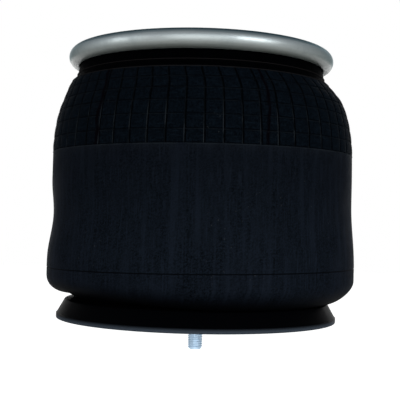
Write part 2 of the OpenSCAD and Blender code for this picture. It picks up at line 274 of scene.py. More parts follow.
def finish_piece(name: str, mesh: bmesh.types.BMesh, material: bpy.types.Material,
                 settle: Callable[[Vector], Vector] | None = None,
                 crease: float | None = None) -> bpy.types.Object:
    """Turns a mesh into a smooth-shaded object that keeps its resting place.

    Args:
        name: the object's name.
        mesh: the mesh, which is freed.
        material: the finish.
        settle: moves the points once their resting place is kept.
        crease: angle in degrees from which an edge is shaded sharp.

    Returns:
        The object, with the attribute rest_place on its points.
    """
    data = bpy.data.meshes.new(name)
    mesh.to_mesh(data)
    mesh.free()
    for face in data.polygons:
        face.use_smooth = True
    resting = data.attributes.new(Coordinates.RESTING.value, "FLOAT_VECTOR", "POINT")
    resting.data.foreach_set("vector", [part for vertex in data.vertices for part in vertex.co])
    if settle:
        for vertex in data.vertices:
            vertex.co = settle(vertex.co)
    if crease:
        data.set_sharp_from_angle(angle=math.radians(crease))
    piece = bpy.data.objects.new(name, data)
    bpy.context.scene.collection.objects.link(piece)
    data.materials.append(material)
    LOG.info("%s: %d faces", name, len(data.polygons))
    return piece


# Shader helpers


def rgba(colour: Colour, factor: float = 1.0) -> Rgba:
    """Colour with full alpha, made lighter or darker by a factor."""
    return tuple(part * factor for part in colour) + (1.0,)


@dataclass(frozen=True)
class Pattern:
    """Noise with a size, and the part of its range that makes a mask."""

    scale: float
    detail: float = 2.0
    roughness: float = 0.5
    low: float = 0.0
    high: float = 1.0


class Graph:
    """Short way to add and join nodes in one node tree."""

    def __init__(self, tree: bpy.types.NodeTree) -> None:
        """Keeps the tree to work on."""
        self.tree = tree

    def node(self, kind: str, **settings: object) -> bpy.types.Node:
        """Adds a node.

        Args:
            kind: the node's type name.
            settings: properties to set on it.

        Returns:
            The node.
        """
        made = self.tree.nodes.new(kind)
        for key, value in settings.items():
            setattr(made, key, value)
        return made

    def feed(self, source: Socket | float | tuple, target: Socket) -> None:
        """Links a socket to an input, or sets the input's own value.

        Args:
            source: the socket or the value.
            target: the input.
        """
        if isinstance(source, bpy.types.NodeSocket):
            self.tree.links.new(source, target)
        else:
            target.default_value = source

    def math(self, operation: str, first: Socket | float, second: Socket | float = 0.0) -> Socket:
        """Adds a Math node.

        Args:
            operation: the node's operation.
            first: first value.
            second: second value.

        Returns:
            The result's socket.
        """
        made = self.node("ShaderNodeMath", operation=operation)
        self.feed(first, made.inputs[0])
        self.feed(second, made.inputs[1])
        return made.outputs[0]

    def product(self, first: Socket | float, second: Socket | float) -> Socket:
        """Multiplies two values."""
        return self.math("MULTIPLY", first, second)

    def larger(self, first: Socket | float, second: Socket | float) -> Socket:
        """Keeps the larger of two values."""
        return self.math("MAXIMUM", first, second)

    def apart(self, first: Socket | float, second: Socket | float) -> Socket:
        """Distance between two values."""
        return self.math("ABSOLUTE", self.math("SUBTRACT", first, second))

    def ramp(self, value: Socket, low: float, high: float, start: float = 0.0,
             stop: float = 1.0) -> Socket:
        """Maps a value smoothly from one range to another.

        Args:
            value: the value's socket.
            low: value that gives start.
            high: value that gives stop.
            start: result at low.
            stop: result at high.

        Returns:
            The result's socket.
        """
        made = self.node("ShaderNodeMapRange", interpolation_type="SMOOTHSTEP")
        self.feed(value, made.inputs[0])
        for index, number in enumerate((low, high, start, stop), start=1):
            made.inputs[index].default_value = number
        return made.outputs[0]

    def mix(self, share: Socket | float, first: Socket | Rgba, second: Socket | Rgba) -> Socket:
        """Mixes two colours.

        Args:
            share: share of the second colour.
            first: first colour.
            second: second colour.

        Returns:
            The mixed colour's socket.
        """
        made = self.node("ShaderNodeMix", data_type="RGBA")
        self.feed(share, made.inputs[0])
        self.feed(first, made.inputs[6])
        self.feed(second, made.inputs[7])
        return made.outputs[2]

    def noise(self, vector: Socket, pattern: Pattern) -> Socket:
        """Adds a noise texture.

        Args:
            vector: where it is read.
            pattern: its waves to a unit, its octaves and the weight of the finer ones.

        Returns:
            The noise's value, about 0.5 in the middle.
        """
        made = self.node("ShaderNodeTexNoise")
        self.feed(vector, made.inputs["Vector"])
        made.inputs["Scale"].default_value = pattern.scale
        made.inputs["Detail"].default_value = pattern.detail
        made.inputs["Roughness"].default_value = pattern.roughness
        return made.outputs[0]

    def mask(self, vector: Socket, pattern: Pattern, start: float = 0.0,
             stop: float = 1.0) -> Socket:
        """Makes a pattern into a mask.

        Args:
            vector: where it is read.
            pattern: the pattern.
            start: result below the pattern's low value.
            stop: result above its high value.

        Returns:
            The mask's socket.
        """
        return self.ramp(self.noise(vector, pattern), pattern.low, pattern.high, start, stop)

    def wobble(self, vector: Socket, pattern: Pattern) -> Socket:
        """Noise about 0."""
        return self.math("SUBTRACT", self.noise(vector, pattern), 0.5)

    def scaled(self, vector: Socket, factors: Triple) -> Socket:
        """Multiplies a vector's parts by three factors.

        Args:
            vector: the vector's socket.
            factors: one factor for each part.

        Returns:
            The result's socket.
        """
        made = self.node("ShaderNodeVectorMath", operation="MULTIPLY")
        self.feed(vector, made.inputs[0])
        made.inputs[1].default_value = factors
        return made.outputs[0]

    def parts(self, vector: Socket) -> list[Socket]:
        """Splits a vector into its three parts.

        Args:
            vector: the vector's socket.

        Returns:
            The sockets of the parts.
        """
        made = self.node("ShaderNodeSeparateXYZ")
        self.feed(vector, made.inputs[0])
        return list(made.outputs)

    def from_axis(self, where: Socket) -> Socket:
        """Distance of a place from the Z axis.

        Args:
            where: the place's socket.

        Returns:
            The distance's socket.
        """
        made = self.node("ShaderNodeVectorMath", operation="LENGTH")
        self.feed(self.scaled(where, (1.0, 1.0, 0.0)), made.inputs[0])
        return made.outputs["Value"]


@dataclass(frozen=True)
class GroupBuilder:
    """Builds the shader groups that several finishes share, once each."""

    fine_grain: Pattern = Pattern(2200.0, 3.0, 0.6)
    clouds: Pattern = Pattern(42.0, 4.0, 0.55)
    mottle: Pattern = Pattern(820.0, 2.0, 0.8, 0.36, 0.64)
    soft_streaks: Pattern = Pattern(22.0, 3.0, 0.6, 0.45, 0.72)
    thin_streaks: Pattern = Pattern(120.0, 2.0, 0.6, 0.50, 0.72)
    streak_stretch: float = 0.4
    dots: Pattern = Pattern(620.0, 1.0, 0.5, 0.71, 0.80)
    dusty_areas: Pattern = Pattern(19.0, 2.0, 0.5, 0.52, 0.68)
    stains: Pattern = Pattern(34.0, 5.0, 0.65, 0.40, 0.72)
    scratches: Pattern = Pattern(310.0, 3.0, 0.7, 0.62, 0.70)
    scratch_stretch: float = 5.0

    def _start(self, name: str, *outputs: str) -> tuple[Graph, Socket, bpy.types.Node]:
        """Makes an empty group that reads a place and gives some values.

        Args:
            name: the group's name.
            outputs: names of its values.

        Returns:
            The graph, the place's socket and the output node.
        """
        tree = bpy.data.node_groups.new(name, "ShaderNodeTree")
        tree.interface.new_socket(name="Place", in_out="INPUT", socket_type="NodeSocketVector")
        for label in outputs:
            tree.interface.new_socket(name=label, in_out="OUTPUT", socket_type="NodeSocketFloat")
        graph = Graph(tree)
        return graph, graph.node("NodeGroupInput").outputs["Place"], graph.node("NodeGroupOutput")

    @cached_property
    def grain(self) -> bpy.types.NodeTree:
        """Fine moulded grain: a height, soft clouds and a fine mottle.

        Returns:
            The group.
        """
        graph, where, leave = self._start("moulded_grain", "Height", "Clouds", "Mottle")
        graph.feed(graph.noise(where, self.fine_grain), leave.inputs["Height"])
        graph.feed(graph.noise(where, self.clouds), leave.inputs["Clouds"])
        graph.feed(graph.mask(where, self.mottle), leave.inputs["Mottle"])
        return graph.tree

    @cached_property
    def streaks(self) -> bpy.types.NodeTree:
        """Streaks that run up the wall, from the angle and the height.

        Returns:
            The group.
        """
        graph, where, leave = self._start("wall_streaks", "Soft", "Thin")
        around = graph.node("ShaderNodeVectorMath", operation="NORMALIZE")
        graph.feed(graph.scaled(where, (1.0, 1.0, 0.0)), around.inputs[0])
        sideways, forwards, _ = graph.parts(around.outputs[0])
        column = graph.node("ShaderNodeCombineXYZ")
        drawn_out = graph.product(graph.parts(where)[2], self.streak_stretch)
        for index, part in enumerate((sideways, forwards, drawn_out)):
            graph.feed(part, column.inputs[index])
        graph.feed(graph.mask(column.outputs[0], self.soft_streaks), leave.inputs["Soft"])
        graph.feed(graph.mask(column.outputs[0], self.thin_streaks), leave.inputs["Thin"])
        return graph.tree

    @cached_property
    def specks(self) -> bpy.types.NodeTree:
        """Scattered pale specks of dust and bloom.

        Returns:
            The group.
        """
        graph, where, leave = self._start("dust_specks", "Mask")
        dots = graph.mask(where, self.dots)
        graph.feed(graph.product(dots, graph.mask(where, self.dusty_areas)), leave.inputs["Mask"])
        return graph.tree

    @cached_property
    def scuffs(self) -> bpy.types.NodeTree:
        """Handling scuffs and stains on sheet metal.

        Returns:
            The group.
        """
        graph, where, leave = self._start("metal_scuffs", "Stain", "Scratch")
        flattened = graph.scaled(where, (1.0, 1.0, self.scratch_stretch))
        graph.feed(graph.mask(where, self.stains), leave.inputs["Stain"])
        graph.feed(graph.mask(flattened, self.scratches), leave.inputs["Scratch"])
        return graph.tree


GROUPS = GroupBuilder()


class Coordinates(Enum):
    """Where a finish reads its pattern."""

    OBJECT = "object"
    RESTING = "rest_place"


@dataclass(frozen=True)
class Finish:
    """What every finish has: a name, a colour and the sockets of its shader."""

    name: str
    colour: Colour
    roughness: float = 0.5
    coordinates: Coordinates = Coordinates.OBJECT
    specular: float = 0.5
    rough_span: Span = (0.0, 0.0)
    bump_share: float = 0.3
    bump_h: float = 0.0001

    def shade(self, factor: float) -> Rgba:
        """The finish's own colour, made lighter or darker by a factor."""
        return rgba(self.colour, factor)

    def start(self) -> tuple[bpy.types.Material, Graph, bpy.types.Node, Socket]:
        """Makes the material with its shader.

        Returns:
            The material, its graph, the Principled shader and the pattern's place.
        """
        material = bpy.data.materials.new(self.name)
        material.use_nodes = True
        graph = Graph(material.node_tree)
        shader = material.node_tree.nodes["Principled BSDF"]
        shader.inputs["Roughness"].default_value = self.roughness
        shader.inputs["Specular IOR Level"].default_value = self.specular
        if self.coordinates is Coordinates.OBJECT:
            return material, graph, shader, graph.node("ShaderNodeTexCoord").outputs["Object"]
        resting = graph.node("ShaderNodeAttribute", attribute_name=self.coordinates.value)
        return material, graph, shader, resting.outputs["Vector"]

    def group(self, graph: Graph, tree: bpy.types.NodeTree, where: Socket) -> bpy.types.Node:
        """Places a shared group at the pattern's place.

        Args:
            graph: the material's graph.
            tree: the group.
            where: the pattern's place.

        Returns:
            The group's node.
        """
        made = graph.node("ShaderNodeGroup", node_tree=tree)
        graph.feed(where, made.inputs["Place"])
        return made

    def matted(self, graph: Graph, mask: Socket, low: float = 0.0, high: float = 1.0) -> Socket:
        """Roughness that follows a mask over the finish's span.

        Args:
            graph: the material's graph.
            mask: the mask's socket.
            low: value that gives the span's first end.
            high: value that gives its second end.

        Returns:
            The roughness's socket.
        """
        first, second = (self.roughness + part for part in self.rough_span)
        return graph.ramp(mask, low, high, first, second)

    def bump(self, graph: Graph, shader: bpy.types.Node, height: Socket) -> None:
        """Gives the surface its fine relief.

        Args:
            graph: the material's graph.
            shader: the Principled shader.
            height: the relief's socket.
        """
        made = graph.node("ShaderNodeBump")
        made.inputs["Strength"].default_value = self.bump_share
        made.inputs["Distance"].default_value = self.bump_h
        graph.feed(height, made.inputs["Height"])
        graph.feed(made.outputs[0], shader.inputs["Normal"])


@dataclass(frozen=True)
class SmoothRubber(Finish):
    """Satin rubber wall with fine streaks, mottle and specks, with light and shade painted in.

    The pale line at the seam is partly painted highlight, with a painted highlight below it.
    Painted shade darkens the groove, the wall upwards towards the seam and the lobe's underside.
    """

    mottle_shades: Span = (0.25, 1.60)
    cloud_span: Span = (0.35, 0.65)
    cloud_shade: float = 1.25
    cloud_share: float = 0.35
    streak_gain: float = 2.4
    soft_share: float = 0.55
    thin_share: float = 0.65
    speck_colour: Colour = (0.030, 0.034, 0.038)
    speck_share: float = 0.8
    # Pale seam line, partly painted highlight, and a painted highlight band below it
    pale_seam_and_highlight_colour: Colour = (0.0094, 0.0123, 0.0160)
    edge_z: float = 0.1441
    edge_h: float = 0.0017
    edge_patches: Pattern = Pattern(48.0, 4.0, 0.7, 0.32, 0.56)
    edge_stretch: float = 0.2
    painted_highlight_h: float = 0.0085
    painted_highlight_share: float = 0.28
    # Painted shade in the moulded groove
    groove_z: float = 0.0450
    groove_h: float = 0.0007
    groove_core: float = 0.4
    groove_painted_shade: float = 0.35
    # Painted shade that grows up the wall
    painted_shade_z: Span = (0.055, 0.135)
    painted_shade_share: float = 0.42
    painted_shade_factor: float = 0.45
    # Painted shade under the lobe
    shade_under_z: float = 0.018
    shade_up_z: float = 0.034
    underside_painted_shade: float = 0.12
    satin_span: Span = (0.2, 0.8)
    rough_span: Span = (0.08, -0.06)
    bump_share: float = 0.25
    bump_h: float = 0.00012
    specular: float = 0.004

    def material(self) -> bpy.types.Material:
        """Builds the finish.

        Returns:
            The material.
        """
        material, graph, shader, where = self.start()
        grain = self.group(graph, GROUPS.grain, where)
        streaks = self.group(graph, GROUPS.streaks, where)
        specks = self.group(graph, GROUPS.specks, where)
        height = graph.parts(where)[2]
        mottled = graph.mix(grain.outputs["Mottle"], *map(self.shade, self.mottle_shades))
        clouds = graph.ramp(grain.outputs["Clouds"], *self.cloud_span, 0.0, self.cloud_share)
        cloudy = graph.mix(clouds, mottled, self.shade(self.cloud_shade))
        soft = graph.product(streaks.outputs["Soft"], self.soft_share)
        thin = graph.product(streaks.outputs["Thin"], self.thin_share)
        streaked = graph.mix(graph.larger(soft, thin), cloudy, self.shade(self.streak_gain))
        dust = graph.product(specks.outputs["Mask"], self.speck_share)
        dusty = graph.mix(dust, streaked, rgba(self.speck_colour))
        # Painted highlight: a lighter band below the seam stands for the lamp's gloss on the rounded step;
        # the thin pale line at the seam is partly the rubber's own mark and partly painted highlight.
        drawn_out = graph.scaled(where, (1.0, 1.0, self.edge_stretch))
        painted_highlight = graph.ramp(height, self.edge_z - self.painted_highlight_h, self.edge_z, 0.0, self.painted_highlight_share)
        line = graph.ramp(height, self.edge_z - self.edge_h, self.edge_z - self.edge_h / 2)
        edge = graph.product(graph.larger(painted_highlight, line), graph.mask(drawn_out, self.edge_patches))
        edged = graph.mix(edge, dusty, rgba(self.pale_seam_and_highlight_colour))
        # Painted shade: the colour is darkened in the groove, where shade falls.
        away = graph.apart(height, self.groove_z)
        in_groove_painted_shade = graph.ramp(away, self.groove_h, self.groove_h * self.groove_core)
        grooved = graph.mix(in_groove_painted_shade, edged, self.shade(self.groove_painted_shade))
        # Painted shade: the wall is darkened upwards towards the seam, as light falls less there.
        painted_shade_rise = graph.ramp(height, *self.painted_shade_z, 0.0, self.painted_shade_share)
        shaded_up_the_wall = graph.mix(painted_shade_rise, grooved, self.shade(self.painted_shade_factor))
        # Painted shade: the lobe's underside, which faces down, is darkened towards black.
        rolled = graph.ramp(height, self.shade_up_z, self.shade_under_z)
        graph.feed(graph.mix(rolled, shaded_up_the_wall, self.shade(self.underside_painted_shade)),
                   shader.inputs["Base Color"])
        graph.feed(self.matted(graph, grain.outputs["Clouds"], *self.satin_span),
                   shader.inputs["Roughness"])
        self.bump(graph, shader, grain.outputs["Height"])
        return material


@dataclass(frozen=True)
class Splice:
    """Place where the rubber's ply ends overlap, as a dark line down the shoulder."""

    column: float
    slope: float
    width: float
    wander: float


@dataclass(frozen=True)
class RibbedRubber(Finish):
    """Shoulder rubber, marked with the grid of fine lines that its mould leaves.

    Each line is a furrow darkened with painted shade, with a pale thread in it that is a
    painted highlight and shows most in the lower rows. Above the lower ridge the neck is
    painted near black as the rolled rim's shadow.
    """

    mottle_shades: Span = (0.5, 1.4)
    furrow: float = 0.10
    furrow_core: float = 0.35
    thread: float = 0.034
    thread_core: float = 0.4
    thread_shift: float = 0.045
    # Painted highlight along the furrows' edges
    thread_highlight_colour: Colour = (0.0095, 0.0122, 0.0150)
    thread_patches: Pattern = Pattern(75.0, 3.0, 0.5, 0.36, 0.60)
    thread_least: float = 0.15
    thread_rows: Span = (3.6, 1.4)
    thread_high: float = 0.12
    row_thread: float = 0.32
    row_furrow: float = 0.55
    # Painted shade in the furrows
    furrow_painted_shade: float = 0.22
    weft: Pattern = Pattern(1.0, 2.0, 0.7, 0.52, 0.68)
    weft_scale: Triple = (1.6, 6.5, 0.0)
    warp: Pattern = Pattern(1.0, 2.0, 0.7, 0.54, 0.70)
    warp_scale: Triple = (9.0, 1.2, 0.0)
    weave: float = 0.60
    weave_gain: float = 2.3
    ridge_colour: Colour = (0.0062, 0.0055, 0.0056)
    ridges_z: Span = (0.2005, 0.2067)
    ridge_h: float = 0.00027
    ridge_edges: Span = (1.6, 0.6)
    upper_ridge: float = 0.75
    splices: tuple[Splice, ...] = (Splice(31.43, 0.02, 0.14, 0.5), Splice(21.81, 0.0, 0.17, 1.0))
    splice_core: float = 0.3
    splice_waves: Pattern = Pattern(38.0, 3.0)
    splice_breaks: Pattern = Pattern(1.0, 2.0, 0.7, 0.30, 0.52)
    splice_shares: Span = (0.45, 0.95)
    splice_colour: Colour = (0.0006, 0.0003, 0.0008)
    speck_colour: Colour = (0.022, 0.024, 0.026)
    speck_share: float = 0.7
    # Painted shadow of the rolled rim on the neck
    rim_shadow_start: Span = (1.0, 3.0)
    rim_shadow_colour: Colour = (0.00008, 0.00006, 0.0001)
    rim_shadow_share: float = 0.93
    rough_span: Span = (0.0, 0.15)
    bump_h: float = 0.00015
    specular: float = 0.002

    def _line(self, graph: Graph, count: Socket) -> tuple[Socket, Socket]:
        """Furrow at every whole number, with a thread beside its middle.

        Args:
            graph: the material's graph.
            count: value that passes a whole number at each line.

        Returns:
            The masks of the furrow and of the thread.
        """
        across = graph.math("PINGPONG", count, 0.5)
        beside = graph.math("PINGPONG", graph.math("ADD", count, self.thread_shift), 0.5)
        return (graph.ramp(across, self.furrow, self.furrow * self.furrow_core),
                graph.ramp(beside, self.thread, self.thread * self.thread_core))

    def _ridge(self, graph: Graph, height: Socket, level: float) -> Socket:
        """Mask of one fine ridge round the neck."""
        edges = (self.ridge_h * part for part in self.ridge_edges)
        return graph.ramp(graph.apart(height, level), *edges)

    def _splice(self, graph: Graph, column: Socket, row: Socket, wobble: Socket,
                splice: Splice) -> Socket:
        """Mask of one splice line.

        Args:
            graph: the material's graph.
            column: count of columns.
            row: count of rows.
            wobble: noise about 0.
            splice: its place and width.

        Returns:
            The mask's socket.
        """
        slanted = graph.math("SUBTRACT", column, graph.product(row, splice.slope))
        bent = graph.math("ADD", slanted, graph.product(wobble, splice.wander))
        return graph.ramp(graph.apart(bent, splice.column), splice.width,
                          splice.width * self.splice_core)

    def material(self) -> bpy.types.Material:
        """Builds the finish.

        Returns:
            The material.
        """
        material, graph, shader, where = self.start()
        grain = self.group(graph, GROUPS.grain, where)
        specks = self.group(graph, GROUPS.specks, where)
        count = graph.node("ShaderNodeAttribute", attribute_name=GRID_ATTRIBUTE).outputs["Vector"]
        column, row, inside = graph.parts(count)
        height = graph.parts(where)[2]
        mottled = graph.mix(grain.outputs["Mottle"], *map(self.shade, self.mottle_shades))
        along = graph.scaled(count, self.warp_scale)
        woven = graph.larger(graph.mask(graph.scaled(count, self.weft_scale), self.weft),
                             graph.mask(along, self.warp))
        cloudy = graph.mix(graph.product(woven, self.weave), mottled, self.shade(self.weave_gain))
        column_furrow, column_thread = self._line(graph, column)
        row_furrow, row_thread = self._line(graph, row)
        # Painted shade: the colour is darkened in the grid's furrows, where shade falls.
        furrows = graph.larger(column_furrow, graph.product(row_furrow, self.row_furrow))
        furrows_shaded = graph.mix(graph.product(furrows, inside), cloudy, self.shade(self.furrow_painted_shade))
        # Painted highlight: a pale thread beside each furrow's middle stands for the light its edge catches,
        # most in the lower rows.
        patchy = graph.mask(where, self.thread_patches, self.thread_least)
        lower = graph.ramp(row, *self.thread_rows, self.thread_high)
        threads = graph.larger(graph.product(column_thread, lower),
                               graph.product(row_thread, self.row_thread))
        shade = graph.mix(graph.product(graph.product(threads, patchy), inside), furrows_shaded,
                          rgba(self.thread_highlight_colour))
        wobble = graph.wobble(where, self.splice_waves)
        broken = graph.mask(along, self.splice_breaks, *self.splice_shares)
        for splice in self.splices:
            line = graph.product(self._splice(graph, column, row, wobble, splice), broken)
            shade = graph.mix(line, shade, rgba(self.splice_colour))
        dust = graph.product(specks.outputs["Mask"], self.speck_share)
        dusty = graph.mix(dust, shade, rgba(self.speck_colour))
        # Painted shadow: above the lower ridge the neck under the rolled rim is painted near black as the
        # rim's shadow.
        low, high = self.ridges_z
        black = graph.ramp(height, *(low + self.ridge_h * n for n in self.rim_shadow_start), 0.0,
                           self.rim_shadow_share)
        rim_shadowed = graph.mix(black, dusty, rgba(self.rim_shadow_colour))
        ridges = graph.larger(self._ridge(graph, height, low),
                              graph.product(self._ridge(graph, height, high), self.upper_ridge))
        graph.feed(graph.mix(ridges, rim_shadowed, rgba(self.ridge_colour)), shader.inputs["Base Color"])
        graph.feed(self.matted(graph, furrows), shader.inputs["Roughness"])
        self.bump(graph, shader, grain.outputs["Height"])
        return material


@dataclass(frozen=True)
class PlainRubber(Finish):
    """Matt moulded rubber of the bump stop and the seal."""

    cloud_span: Span = (0.3, 0.7)
    cloud_shades: Span = (0.8, 1.3)
    bump_share: float = 0.4
    bump_h: float = 0.0002
    specular: float = 0.2

    def material(self) -> bpy.types.Material:
        """Builds the finish.

        Returns:
            The material.
        """
        material, graph, shader, where = self.start()
        grain = self.group(graph, GROUPS.grain, where)
        clouds = graph.ramp(grain.outputs["Clouds"], *self.cloud_span)
        graph.feed(graph.mix(clouds, *map(self.shade, self.cloud_shades)),
                   shader.inputs["Base Color"])
        self.bump(graph, shader, grain.outputs["Height"])
        return material


@dataclass(frozen=True)
class RolledSteel(Finish):
    """Zinc-coated sheet steel, with light and shade painted over its rolled rim.

    A painted reflection brightens the middle of the rim, and painted shade darkens it towards
    the top edge and towards the rubber, where the coating is also less metallic. The flat of
    the plate is matt.
    """

    stain: Colour = (0.050, 0.068, 0.078)
    stain_share: float = 0.22
    scratch_share: float = 0.35
    flat_r: float = 0.1045
    curl_r: float = 0.1080
    flat_matt: float = 0.22
    edge_tint: Colour = (0.30, 0.34, 0.35)
    grimy_z: float = 0.2165
    clean_z: float = 0.2195
    grimy_metal: float = 0.15
    rough_span: Span = (-0.04, 0.10)
    bump_share: float = 0.15
    band_waves: Pattern = Pattern(26.0, 3.0)
    band_waver: float = 0.0022
    # Painted light and shade by height over the rim: painted reflection brightest round the middle, painted
    # shade darker towards the bottom by the rubber and darkest in the strip along the top edge.
    painted_light_bands: tuple[tuple[float, Colour], ...] = (
        (0.2145, (0.100, 0.112, 0.104)), (0.2158, (0.125, 0.138, 0.130)),
        (0.2175, (0.160, 0.176, 0.170)), (0.2200, (0.200, 0.222, 0.222)),
        (0.2248, (0.190, 0.216, 0.226)), (0.2264, (0.105, 0.130, 0.142)),
        (0.2282, (0.046, 0.062, 0.072)))

    def _painted_light(self, graph: Graph, height: Socket) -> Socket:
        """Painted light and shade that change with height over the rolled rim.

        Args:
            graph: the material's graph.
            height: height in metres.

        Returns:
            The colour's socket.
        """
        low, high = self.painted_light_bands[0][0], self.painted_light_bands[-1][0]
        spread = graph.node("ShaderNodeMapRange")
        for source, target in zip((height, low, high), spread.inputs):
            graph.feed(source, target)
        scale = graph.node("ShaderNodeValToRGB")
        stops = scale.color_ramp.elements
        scale.color_ramp.interpolation = "EASE"
        while len(stops) < len(self.painted_light_bands):
            stops.new(0.5)
        for index, (level, colour) in enumerate(self.painted_light_bands):
            stops[index].position = (level - low) / (high - low)
            stops[index].color = rgba(colour)
        graph.feed(spread.outputs[0], scale.inputs[0])
        return scale.outputs[0]

    def material(self) -> bpy.types.Material:
        """Builds the finish.

        Returns:
            The material.
        """
        material, graph, shader, where = self.start()
        shader.inputs["Specular Tint"].default_value = rgba(self.edge_tint)
        scuffs = self.group(graph, GROUPS.scuffs, where)
        height = graph.parts(where)[2]
        # On the curl the colour follows the painted bands of reflection and shade; the flat of the plate
        # keeps the steel's own colour.
        waver = graph.product(graph.wobble(where, self.band_waves), self.band_waver)
        on_curl = graph.ramp(graph.from_axis(where), self.flat_r, self.curl_r)
        lit_curl = graph.mix(on_curl, self.shade(1.0),
                           self._painted_light(graph, graph.math("ADD", height, waver)))
        stain, scratch = scuffs.outputs
        cloudy = graph.mix(graph.product(stain, self.stain_share), lit_curl, rgba(self.stain))
        marked = graph.mix(graph.product(scratch, self.scratch_share), cloudy, rgba(self.stain))
        graph.feed(marked, shader.inputs["Base Color"])
        graph.feed(graph.ramp(height, self.grimy_z, self.clean_z, self.grimy_metal),
                   shader.inputs["Metallic"])
        matt = graph.product(graph.math("SUBTRACT", 1.0, on_curl), self.flat_matt)
        graph.feed(graph.math("ADD", self.matted(graph, stain), matt), shader.inputs["Roughness"])
        self.bump(graph, shader, scratch)
        return material


@dataclass(frozen=True)
class PlatedSteel(Finish):
    """Plated steel of studs, nuts and washers, a little stained and scratched."""

    stain_share: float = 0.5
    stain_shade: float = 0.7
    rough_span: Span = (0.0, 0.2)

    def material(self) -> bpy.types.Material:
        """Builds the finish.

        Returns:
            The material.
        """
        material, graph, shader, where = self.start()
        shader.inputs["Metallic"].default_value = 1.0
        stain, scratch = self.group(graph, GROUPS.scuffs, where).outputs
        worn = graph.mix(graph.product(stain, self.stain_share), self.shade(1.0),
                         self.shade(self.stain_shade))
        graph.feed(worn, shader.inputs["Base Color"])
        graph.feed(self.matted(graph, scratch), shader.inputs["Roughness"])
        return material


@dataclass(frozen=True)
class MouldedNylon(Finish):
    """Black glass-filled nylon, satin on the wall, with light and shade painted on the base: the
    flare under the lobe is kept near black as painted shadow and the lip is paler as painted light.
    """

    # Painted light on the lip
    lit_lip_colour: Colour = (0.028, 0.036, 0.047)
    lip_h: float = 0.0045
    lip_core: float = 0.25
    satin: Colour = (0.0045, 0.0049, 0.0054)
    cloud_span: Span = (0.3, 0.7)
    cloud_shades: Span = (0.8, 1.3)
    wall_r: float = 0.0950
    flare_r: float = 0.0990
    speck_share: float = 0.3
    satin_span: Span = (0.2, 0.8)
    rough_span: Span = (-0.05, 0.10)
    specular: float = 0.002

    def material(self) -> bpy.types.Material:
        """Builds the finish.

        Returns:
            The material.
        """
        material, graph, shader, where = self.start()
        grain = self.group(graph, GROUPS.grain, where)
        specks = self.group(graph, GROUPS.specks, where)
        # Painted shadow: the flare under the lobe keeps the nylon's near-black colour, darker than the satin
        # wall, as the lobe's shadow.
        on_shadowed_flare = graph.ramp(graph.from_axis(where), self.wall_r, self.flare_r)
        rubbed = graph.mix(graph.ramp(grain.outputs["Clouds"], *self.cloud_span),
                           *(rgba(self.satin, factor) for factor in self.cloud_shades))
        cloudy = graph.mix(on_shadowed_flare, rubbed, self.shade(1.0))
        dust = graph.product(specks.outputs["Mask"], self.speck_share)
        dusty = graph.mix(dust, cloudy, rgba(self.satin))
        # Painted light: the lip is paler, where light reaches under the lobe's shadow.
        on_lit_lip = graph.ramp(graph.parts(where)[2], self.lip_h, self.lip_h * self.lip_core)
        graph.feed(graph.mix(on_lit_lip, dusty, rgba(self.lit_lip_colour)), shader.inputs["Base Color"])
        graph.feed(self.matted(graph, grain.outputs["Clouds"], *self.satin_span),
                   shader.inputs["Roughness"])
        self.bump(graph, shader, grain.outputs["Height"])
        return material


def built(finish: Finish) -> bpy.types.Material:
    """Field that holds a finish's material, built with its owner."""
    return field(default_factory=finish.material)


@dataclass(frozen=True)
class Finishes:
    """The finishes of the spring, built once."""

    ribbed: bpy.types.Material = built(RibbedRubber(
        "shoulder_rubber", (0.0012, 0.0022, 0.0036), 0.66, Coordinates.RESTING))
    smooth: bpy.types.Material = built(SmoothRubber(
        "wall_rubber", (0.0029, 0.0042, 0.0067), 0.64, Coordinates.RESTING))
    bumper: bpy.types.Material = built(PlainRubber("bumper_rubber", (0.010, 0.010, 0.011), 0.7))
    seal: bpy.types.Material = built(PlainRubber("seal_rubber", (0.008, 0.008, 0.009), 0.5))
    rolled: bpy.types.Material = built(RolledSteel("rolled_zinc_steel", (0.24, 0.28, 0.285), 0.42))
    wire: bpy.types.Material = built(PlatedSteel("plain_steel", (0.40, 0.41, 0.42), 0.45))
    nut: bpy.types.Material = built(PlatedSteel("plated_nut_steel", (0.34, 0.37, 0.38), 0.52))
    stud: bpy.types.Material = built(PlatedSteel("blue_plated_steel", (0.36, 0.47, 0.58), 0.35))
    # Near black: the nylon's own colour, which on the flare is also painted shadow under the lobe
    nylon: bpy.types.Material = built(MouldedNylon("black_nylon", (0.0005, 0.0006, 0.0009), 0.36))


# Bellows


